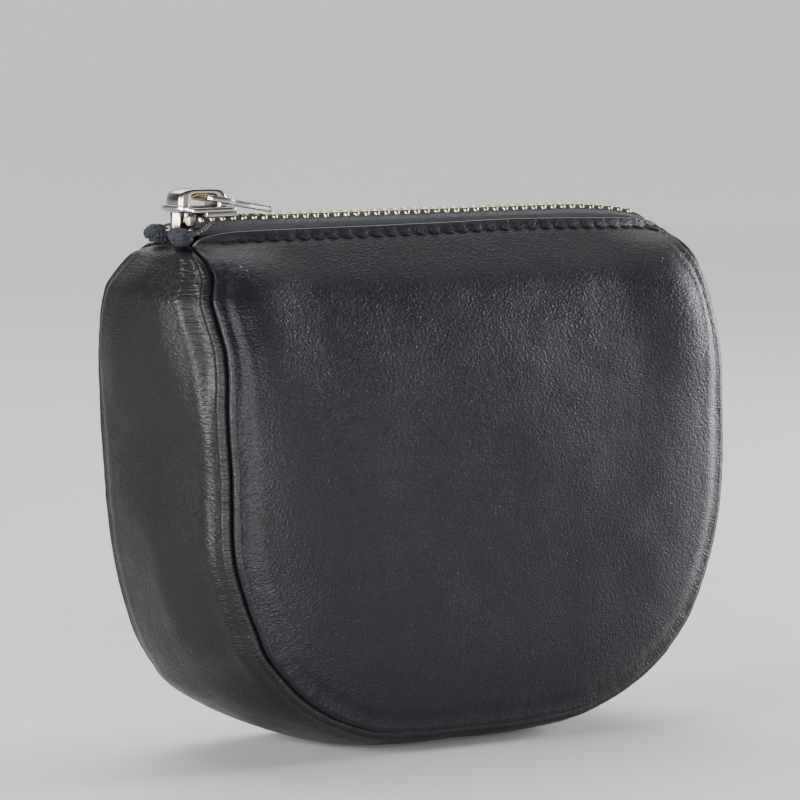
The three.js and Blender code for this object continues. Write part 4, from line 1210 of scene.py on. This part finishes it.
CB = T0 + 1.0
CT = CB + 3.4
def build_cap():
    """The strap that bridges the slider: an arch in x, z, with a rounded section across."""
    o_ = np.array([[0.95, CB - 0.28], [0.9, CB + 0.9], [0.98, CB + 1.75], [1.35, CB + 2.55], [2.15, CT - 0.32], [3.5, CT - 0.02], [6.0, CT + 0.03], [8.6, CT - 0.02], [10.4, CT - 0.25],
                   [11.4, CT - 0.8], [11.9, CB + 1.85], [12.1, CB + 1.0], [12.1, CB - 0.28]])
    i_ = np.array([[3.25, CB - 0.28], [3.25, CB + 0.8], [3.3, CB + 1.35], [3.5, CB + 1.85], [3.9, CB + 2.2], [4.6, CT - 1.0], [6.2, CT - 0.97], [8.0, CT - 1.0], [9.0, CB + 2.25],
                   [9.45, CB + 1.85], [9.7, CB + 1.35], [9.8, CB + 0.8], [9.8, CB - 0.28]])
    oc, _ = smooth_curve(o_, 0.22)
    k = len(oc)
    ic_, is_ = smooth_curve(i_, 0.05)
    t = np.linspace(0, is_[-1], k)
    ic = np.c_[np.interp(t, is_, ic_[:, 0]), np.interp(t, is_, ic_[:, 1])]
    # section: a loop of (share from outer to inner, y)
    W = 2.5
    sec = []
    for y, f in ((-W + 0.55, 0.0), (-W + 0.18, 0.06), (-W, 0.22), (-W, 0.5), (-W, 0.80), (-W + 0.12, 0.95), (-W + 0.4, 1.0), (0, 1.0), (W - 0.4, 1.0), (W - 0.12, 0.95), (W, 0.80), (W, 0.5), (W, 0.22),
                 (W - 0.18, 0.06), (W - 0.55, 0.0), (1.2, -0.045), (0, -0.06), (-1.2, -0.045)):
        sec.append((y, f))
    V, F = [], []
    for a in range(k):
        for y, f in sec:
            p = oc[a] * (1 - f) + ic[a] * f
            V.append([SX + p[0], y, p[1]])
    m = len(sec)
    for a in range(k - 1):
        for b in range(m):
            c = (b + 1) % m
            F.append([a * m + b, a * m + c, (a + 1) * m + c, (a + 1) * m + b])
    F.append(list(range(m))[::-1])
    F.append([(k - 1) * m + b for b in range(m)])
    ob = new_mesh("slider_bridge", V, F, mats=[M_SLIDER], pq=V)
    fix_normals(ob)
    md = ob.modifiers.new("edges", "EDGE_SPLIT")
    md.split_angle = math.radians(60)
    return ob


cap = build_cap()
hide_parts("slider_cap"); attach(cap, "slider")


def build_spring():
    xs = np.linspace(4.2, 8.9, 18)
    zc = CT - 1.0 - 0.09 - 0.51 * sstep(6.5, 4.2, xs)
    V, F = [], []
    for x, z in zip(xs, zc):
        for y, dz in ((-1.1, -0.12), (-1.1, 0.12), (1.1, 0.12), (1.1, -0.12)):
            V.append([SX + x, y, z + dz])
    n = len(xs)
    for a in range(n - 1):
        for b in range(4):
            c = (b + 1) % 4
            F.append([a * 4 + b, a * 4 + c, (a + 1) * 4 + c, (a + 1) * 4 + b])
    F.append([3, 2, 1, 0])
    F.append([(n - 1) * 4 + b for b in range(4)])
    tongue = [(-0.5, 0), (0.5, 0)]
    v2, f2 = tube([[SX + 4.25, 0, CT - 1.5], [SX + 4.2, 0, CT - 2.1], [SX + 4.25, 0, CT - 2.7], [SX + 4.35, 0, CT - 3.1]], [0.34, 0.34, 0.32, 0.2], 10)
    V, F = join([(V, F), (v2, f2)])
    ob = new_mesh("lock_spring_leaf", V, F, smooth=False, mats=[M_BRASS], pq=V)
    fix_normals(ob)
    return ob


spring = build_spring()
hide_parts("lock_spring"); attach(spring, "slider")

# pull: a flat tab that widens to its end, with a ring through the bridge
PULL_X, PULL_Z, PULL_TILT, PULL_ROLL = -51.85, 107.7, math.radians(9.0), math.radians(5.0)


def pull_place(x, y, z):
    # the tab is rolled a little about its length; the ring stays square in the bridge
    r = PULL_ROLL * float(sstep(3.5, 7.5, x))
    y, z = y * math.cos(r) - z * math.sin(r), y * math.sin(r) + z * math.cos(r)
    X, Z = x * math.cos(PULL_TILT) + z * math.sin(PULL_TILT), -x * math.sin(PULL_TILT) + z * math.cos(PULL_TILT)
    return (PULL_X + X, y, PULL_Z + Z)


PULL_L = 14.45
pull_outer = [(-0.62, -2.6), (-0.4, -3.1), (0.2, -3.35), (3.05, -3.3), (4.65, -3.1), (5.85, -2.75), (7.05, -2.55), (9.05, -2.75), (PULL_L - 0.7, -3.6), (PULL_L - 0.2, -3.5), (PULL_L, -3.1),
              (PULL_L, 3.1), (PULL_L - 0.2, 3.5), (PULL_L - 0.7, 3.6), (9.05, 2.75), (7.05, 2.55), (5.85, 2.75), (4.65, 3.1), (3.05, 3.3), (0.2, 3.35), (-0.4, 3.1), (-0.62, 2.6)]
pull_hole = [(0.45, -2.1), (0.7, -2.62), (3.95, -2.62), (4.55, -2.35), (4.95, -1.7), (4.95, 1.7), (4.55, 2.35), (3.95, 2.62), (0.7, 2.62), (0.45, 2.1)]


def dense(pts, step=0.5):
    p = np.asarray(list(pts) + [pts[0]], float)
    out = []
    for a, b in zip(p[:-1], p[1:]):
        k = max(1, int(np.linalg.norm(b - a) / step))
        for t in range(k):
            out.append(tuple(a + (b - a) * t / k))
    return out


pull = plate("pull_tab_metal", dense(round_path(pull_outer, 0.5, 4)), [dense(round_path(pull_hole, 0.3, 4))], 1.15, 0.28, [M_SLIDER], pull_place)
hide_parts("pull_tab"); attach(pull, "pull")


# ------------------------------------------------------------------------------------------------
# tape ends, folded down behind the slider, with a few loose fibres
# ------------------------------------------------------------------------------------------------
def ribbon(name, path, width, th, seed, lump=0.25, nu=60, nv=26, mat=None, lean=0.0):
    p, s = smooth_curve(path, 0.18)
    t = np.gradient(p, axis=0)
    t /= np.linalg.norm(t, axis=1)[:, None]
    across = np.array([0.0, 1.0, 0.0]) + np.array([lean, 0, 0])
    A = across - (t @ across)[:, None] * t
    A /= np.linalg.norm(A, axis=1)[:, None]
    N = np.cross(t, A)
    v = np.linspace(-0.5, 0.5, nv)
    S, W = np.meshgrid(s, v, indexing="ij")
    wid = np.interp(s, np.linspace(0, s[-1], len(width)), width)[:, None]
    hgt = lump * fnoise(S * 0.45, W * 3.0 + seed, seed) + 0.07 * np.sin((S + np.abs(np.mod(W * wid + 40, 2.4) - 1.2) * 1.3) * 9.0)
    P = p[:, None, :] + A[:, None, :] * (W * wid)[..., None] + N[:, None, :] * (hgt + 0.5 * np.cos(W * np.pi * 1.6) * 0.6)[..., None]
    I = P - N[:, None, :] * th
    pq = np.stack([S, W * wid, 0 * S], -1)
    return shell(name, P, I, [mat or M_TAPE], pq, pq + [0, 0, 1])


def wad(name, c, radii, seed, tilt=0.0):
    """A folded and bunched end of woven tape: lumpy, with its coarse ribs running round it."""
    nt_, np_ = ((90, 150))
    th = np.linspace(0.02, math.pi - 0.02, nt_)
    ph = np.linspace(0, 2 * math.pi, np_, endpoint=False)
    T, P = np.meshgrid(th, ph, indexing="ij")
    d = np.stack([np.sin(T) * np.cos(P), np.sin(T) * np.sin(P), np.cos(T)], -1)
    e = np.sign(d) * np.abs(d) ** 0.85
    q = e * np.array(radii)
    u, v = q[..., 0] * math.cos(tilt) + q[..., 2] * math.sin(tilt), q[..., 1] + 0.5 * q[..., 2]
    lump = fnoise(u * 0.55 + 3.1 * seed, v * 0.6 + q[..., 2] * 0.4, seed)
    w = np.abs(np.mod(v + 40, 1.7) - 0.85)
    weave = np.sin((u + w * 1.2) * 8.5) * (0.7 + 0.3 * np.sin(v * 7.0))
    fold = -0.35 * np.exp(-((q[..., 2] - 0.25 * q[..., 0] + 0.2 * seed % 1) / 0.28) ** 2)
    r = 0.48 * lump + 0.15 * weave + fold
    pos = np.array(c) + q + d * r[..., None]
    V = np.vstack([pos.reshape(-1, 3), pos[0].mean(0), pos[-1].mean(0)])
    F = []
    for i in range(nt_ - 1):
        for j in range(np_):
            k = (j + 1) % np_
            F.append([i * np_ + j, (i + 1) * np_ + j, (i + 1) * np_ + k, i * np_ + k])
    for j in range(np_):
        k = (j + 1) % np_
        F.append([len(V) - 2, j, k])
        F.append([len(V) - 1, (nt_ - 1) * np_ + k, (nt_ - 1) * np_ + j])
    pq = np.vstack([np.stack([u, v, q[..., 2]], -1).reshape(-1, 3), [[0, 0, 0], [0, 0, 0]]])
    ob = new_mesh(name, V, F, mats=[M_WAD], pq=pq)
    fix_normals(ob)
    return ob


for sgn, nm, c0, rr in ((-1, "front", (-59.9, -4.6, 100.55), (2.15, 2.5, 1.75)), (1, "back", (-59.5, 3.9, 101.0), (2.1, 2.5, 1.7))):
    path = [(-53.8, sgn * 4.5, 102.3), (-55.6, sgn * 4.8, 101.5), (-57.6, sgn * 5.0, 100.75), (-60.0, sgn * 4.7, 100.4)]
    o = ribbon("tape_fold_%s" % nm, path, [2.6, 3.4, 4.4, 4.2], 0.7, 13 + (sgn > 0) * 5, 0.3)
    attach(o, "root")
    o = wad("tape_end_%s" % nm, c0, rr, 3 + sgn, 0.4 * sgn)
    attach(o, "root")


def build_fibres():
    parts = []
    k = 0
    for j in range(34):
        h = lambda q: _hash(np.array([j]), np.array([q]), 101)[0]
        y = 6.2 * h(1)
        base = np.array([-60.7 + 0.8 * h(2), y, 100.8 + 1.1 * h(3)])
        d = np.array([-0.9 - 0.5 * abs(h(4)), 0.7 * h(5), 0.1 + 0.9 * h(6)])
        d /= np.linalg.norm(d)
        ln = 0.8 + 0.7 * abs(h(7))
        curl = np.array([0.3 * h(8), 0.5 * h(9), -0.8 - 0.3 * h(10)])
        t = np.linspace(0, 1, 8)[:, None]
        p = base + d * ln * t + curl * (t ** 2) * 0.8
        parts.append(tube(p, 0.085 * (1 - 0.35 * t[:, 0]), 5))
    V, F = join(parts)
    ob = new_mesh("tape_fold_fibres", V, F, mats=[M_FRAY], pq=V)
    return ob


fib = build_fibres()
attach(fib, "root")


# ------------------------------------------------------------------------------------------------
# lining
# ------------------------------------------------------------------------------------------------
def build_lining(side, name):
    n = 180
    t = np.linspace(0, len(rim_xz), n, endpoint=False).astype(int)
    rim = rim_xz[t]
    seam_part = t < N_SEAM
    mid = np.array([0.0, 50.0])
    dirn = mid - rim
    dirn /= np.linalg.norm(dirn, axis=1)[:, None]
    ins = np.where(seam_part, 4.2, 3.4)[:, None]
    edge = rim + dirn * ins
    R = np.r_[np.linspace(1, 0.03, 44)]
    xz = mid + (edge[:, None, :] - mid) * R[None, :, None]
    flat = xz.reshape(-1, 2)
    y = panel_surface(flat[:, 0], flat[:, 1], side).reshape(n, -1)
    y = y - LEATHER - 0.75 - 0.5 * sstep(70, 92, xz[..., 1]) + 0.12 * fnoise(xz[..., 0] / 9, xz[..., 1] / 12, 91 + side)
    outer = np.stack([xz[..., 0], side * y, xz[..., 1]], -1)
    inner = np.stack([xz[..., 0], side * (y - 0.45), xz[..., 1]], -1)
    m = xz.shape[1]
    faces, tags = shell_faces(n, m, True, 0, n * m)
    verts = np.vstack([outer.reshape(-1, 3), inner.reshape(-1, 3)])
    faces = [list(f) for f, tg in zip(faces, tags) if tg != 3]
    faces.append([i * m + m - 1 for i in range(n)])
    faces.append([n * m + i * m + m - 1 for i in range(n)][::-1])
    ob = new_mesh(name, verts, faces, mats=[M_LINING], pq=verts[:, [0, 2, 1]])
    fix_normals(ob)
    return ob


for side, nm, lip in ((-1, "front", "front_lip"), (1, "back", "back_lip")):
    li = build_lining(side, "lining_%s_cloth" % nm)
    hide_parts("lining_%s" % nm, "lining_%s_lip" % nm)
    to_lip(li)


def build_lining_strip():
    k = np.where(seam_end > 7)[0][::2]
    m = 30
    v = np.linspace(-1, 1, m)
    half = np.maximum(seam_d[k] - 2.2, 2)[:, None]
    Y = v[None, :] * half
    off = -(1.9 + 0.9 * np.abs(v[None, :]) ** 6 * 1.2) + 0.12 * fnoise(seam_s[k][:, None] / 9, Y / 9, 95)
    P = np.stack([seam_xz[k, 0][:, None] + seam_n[k, 0][:, None] * off, Y, seam_xz[k, 1][:, None] + seam_n[k, 1][:, None] * off], -1)
    off2 = off - 0.45
    I = np.stack([seam_xz[k, 0][:, None] + seam_n[k, 0][:, None] * off2, Y, seam_xz[k, 1][:, None] + seam_n[k, 1][:, None] * off2], -1)
    pq = np.stack([np.repeat(seam_s[k][:, None], m, 1), Y, 0 * Y], -1)
    return shell("lining_gusset_cloth", P, I, [M_LINING], pq, pq + [0, 0, 1])


ls = build_lining_strip()
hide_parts("lining_gusset"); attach(ls, "root")

for nm in ("seam_thread_front", "seam_thread_back"):
    recolour_node(nm, M_STITCH)

# ------------------------------------------------------------------------------------------------
# stage and light
# ------------------------------------------------------------------------------------------------
def stage():
    bm = bmesh.new()
    bmesh.ops.create_circle(bm, cap_ends=True, segments=128, radius=60.0)
    me = bpy.data.meshes.new("floor")
    bm.to_mesh(me)
    bm.free()
    fl = Nodes("floor_pale")
    v = fl.n("TexCoord").outputs["Object"]
    nz = fl.noise(v, 6.0, 3.0, 0.5)
    ln = fl.n("VectorMath", operation="LENGTH")
    fl.link(v, ln.inputs[0])
    # the floor is painted paler with distance from the purse and darker close to it: painted light on the far floor
    far_painted_light = fl.math("ADD", fl.rng(ln.outputs["Value"], 0.15, 2.2, 0.0, 0.92), fl.math("MULTIPLY", nz, 0.05))
    fl.set(Base_Color=fl.ramp(far_painted_light, [(0.0, (0.56, 0.55, 0.535)), (1.0, (0.86, 0.85, 0.835))]), Roughness=fl.rng(nz, 0.3, 0.7, 0.55, 0.65))
    me.materials.append(fl.mat)
    ob = bpy.data.objects.new("floor", me)
    bpy.context.scene.collection.objects.link(ob)
    w = bpy.data.worlds.new("studio")
    bpy.context.scene.world = w
    w.use_nodes = True
    # a pale backdrop behind the purse, a dim room in front of it
    nt = w.node_tree
    bg = nt.nodes["Background"]
    tc = nt.nodes.new("ShaderNodeTexCoord")
    dot = nt.nodes.new("ShaderNodeVectorMath")
    dot.operation = "DOT_PRODUCT"
    up = nt.nodes.new("ShaderNodeVectorMath")
    up.operation = "DOT_PRODUCT"
    up.inputs[1].default_value = (0.24, 0.45, 0.86)
    nt.links.new(tc.outputs["Generated"], up.inputs[0])
    dot.inputs[1].default_value = (0.58, 0.79, 0.18)
    nt.links.new(tc.outputs["Generated"], dot.inputs[0])
    cr = nt.nodes.new("ShaderNodeValToRGB")
    cr.color_ramp.interpolation = "EASE"
    cr.color_ramp.elements[0].position, cr.color_ramp.elements[0].color = 0.25, (0.055, 0.058, 0.072, 1)
    cr.color_ramp.elements[1].position, cr.color_ramp.elements[1].color = 0.97, (0.80, 0.79, 0.77, 1)
    nt.links.new(dot.outputs["Value"], cr.inputs[0])
    cap_ = nt.nodes.new("ShaderNodeMapRange")
    cap_.interpolation_type = "SMOOTHSTEP"
    for k, v in zip(("From Min", "From Max", "To Min", "To Max"), (0.80, 0.95, 0.0, 3.2)):
        cap_.inputs[k].default_value = v
    nt.links.new(up.outputs["Value"], cap_.inputs["Value"])
    add = nt.nodes.new("ShaderNodeVectorMath")
    add.operation = "ADD"
    nt.links.new(cr.outputs[0], add.inputs[0])
    nt.links.new(cap_.outputs[0], add.inputs[1])
    nt.links.new(add.outputs[0], bg.inputs[0])
    bg.inputs[1].default_value = 1.0

    def area(name, loc, target, size, power, colour=(1, 1, 1), size_y=None):
        d = bpy.data.lights.new(name, "AREA")
        d.shape = "RECTANGLE"
        d.size, d.size_y = size, size_y or size
        d.energy = power
        d.color = colour
        o = bpy.data.objects.new(name, d)
        o.location = loc
        o.rotation_mode = "QUATERNION"
        o.rotation_quaternion = (Vector(target) - Vector(loc)).to_track_quat("-Z", "Y")
        bpy.context.scene.collection.objects.link(o)

    c = (0, 0, 0.05)
    area("left_window", (-0.95, -0.02, 0.20), c, 0.24, 20.0, (1, 0.99, 0.97), 0.45)
    area("camera_side", (-0.86, -1.02, 0.20), c, 0.75, 19.0, (1, 1, 1), 0.40)
    area("front_strip", (-0.05, -1.0, 0.09), (0, 0, 0.04), 0.28, 8.5, (1, 1, 1), 0.15)
    area("right_window", (0.95, -0.12, 0.24), c, 0.26, 17.0, (0.95, 0.97, 1.0), 0.34)
    area("top_soft", (0.15, 0.75, 1.0), (0.1, 0.2, 0), 0.8, 4.0, (1, 1, 1))


stage()
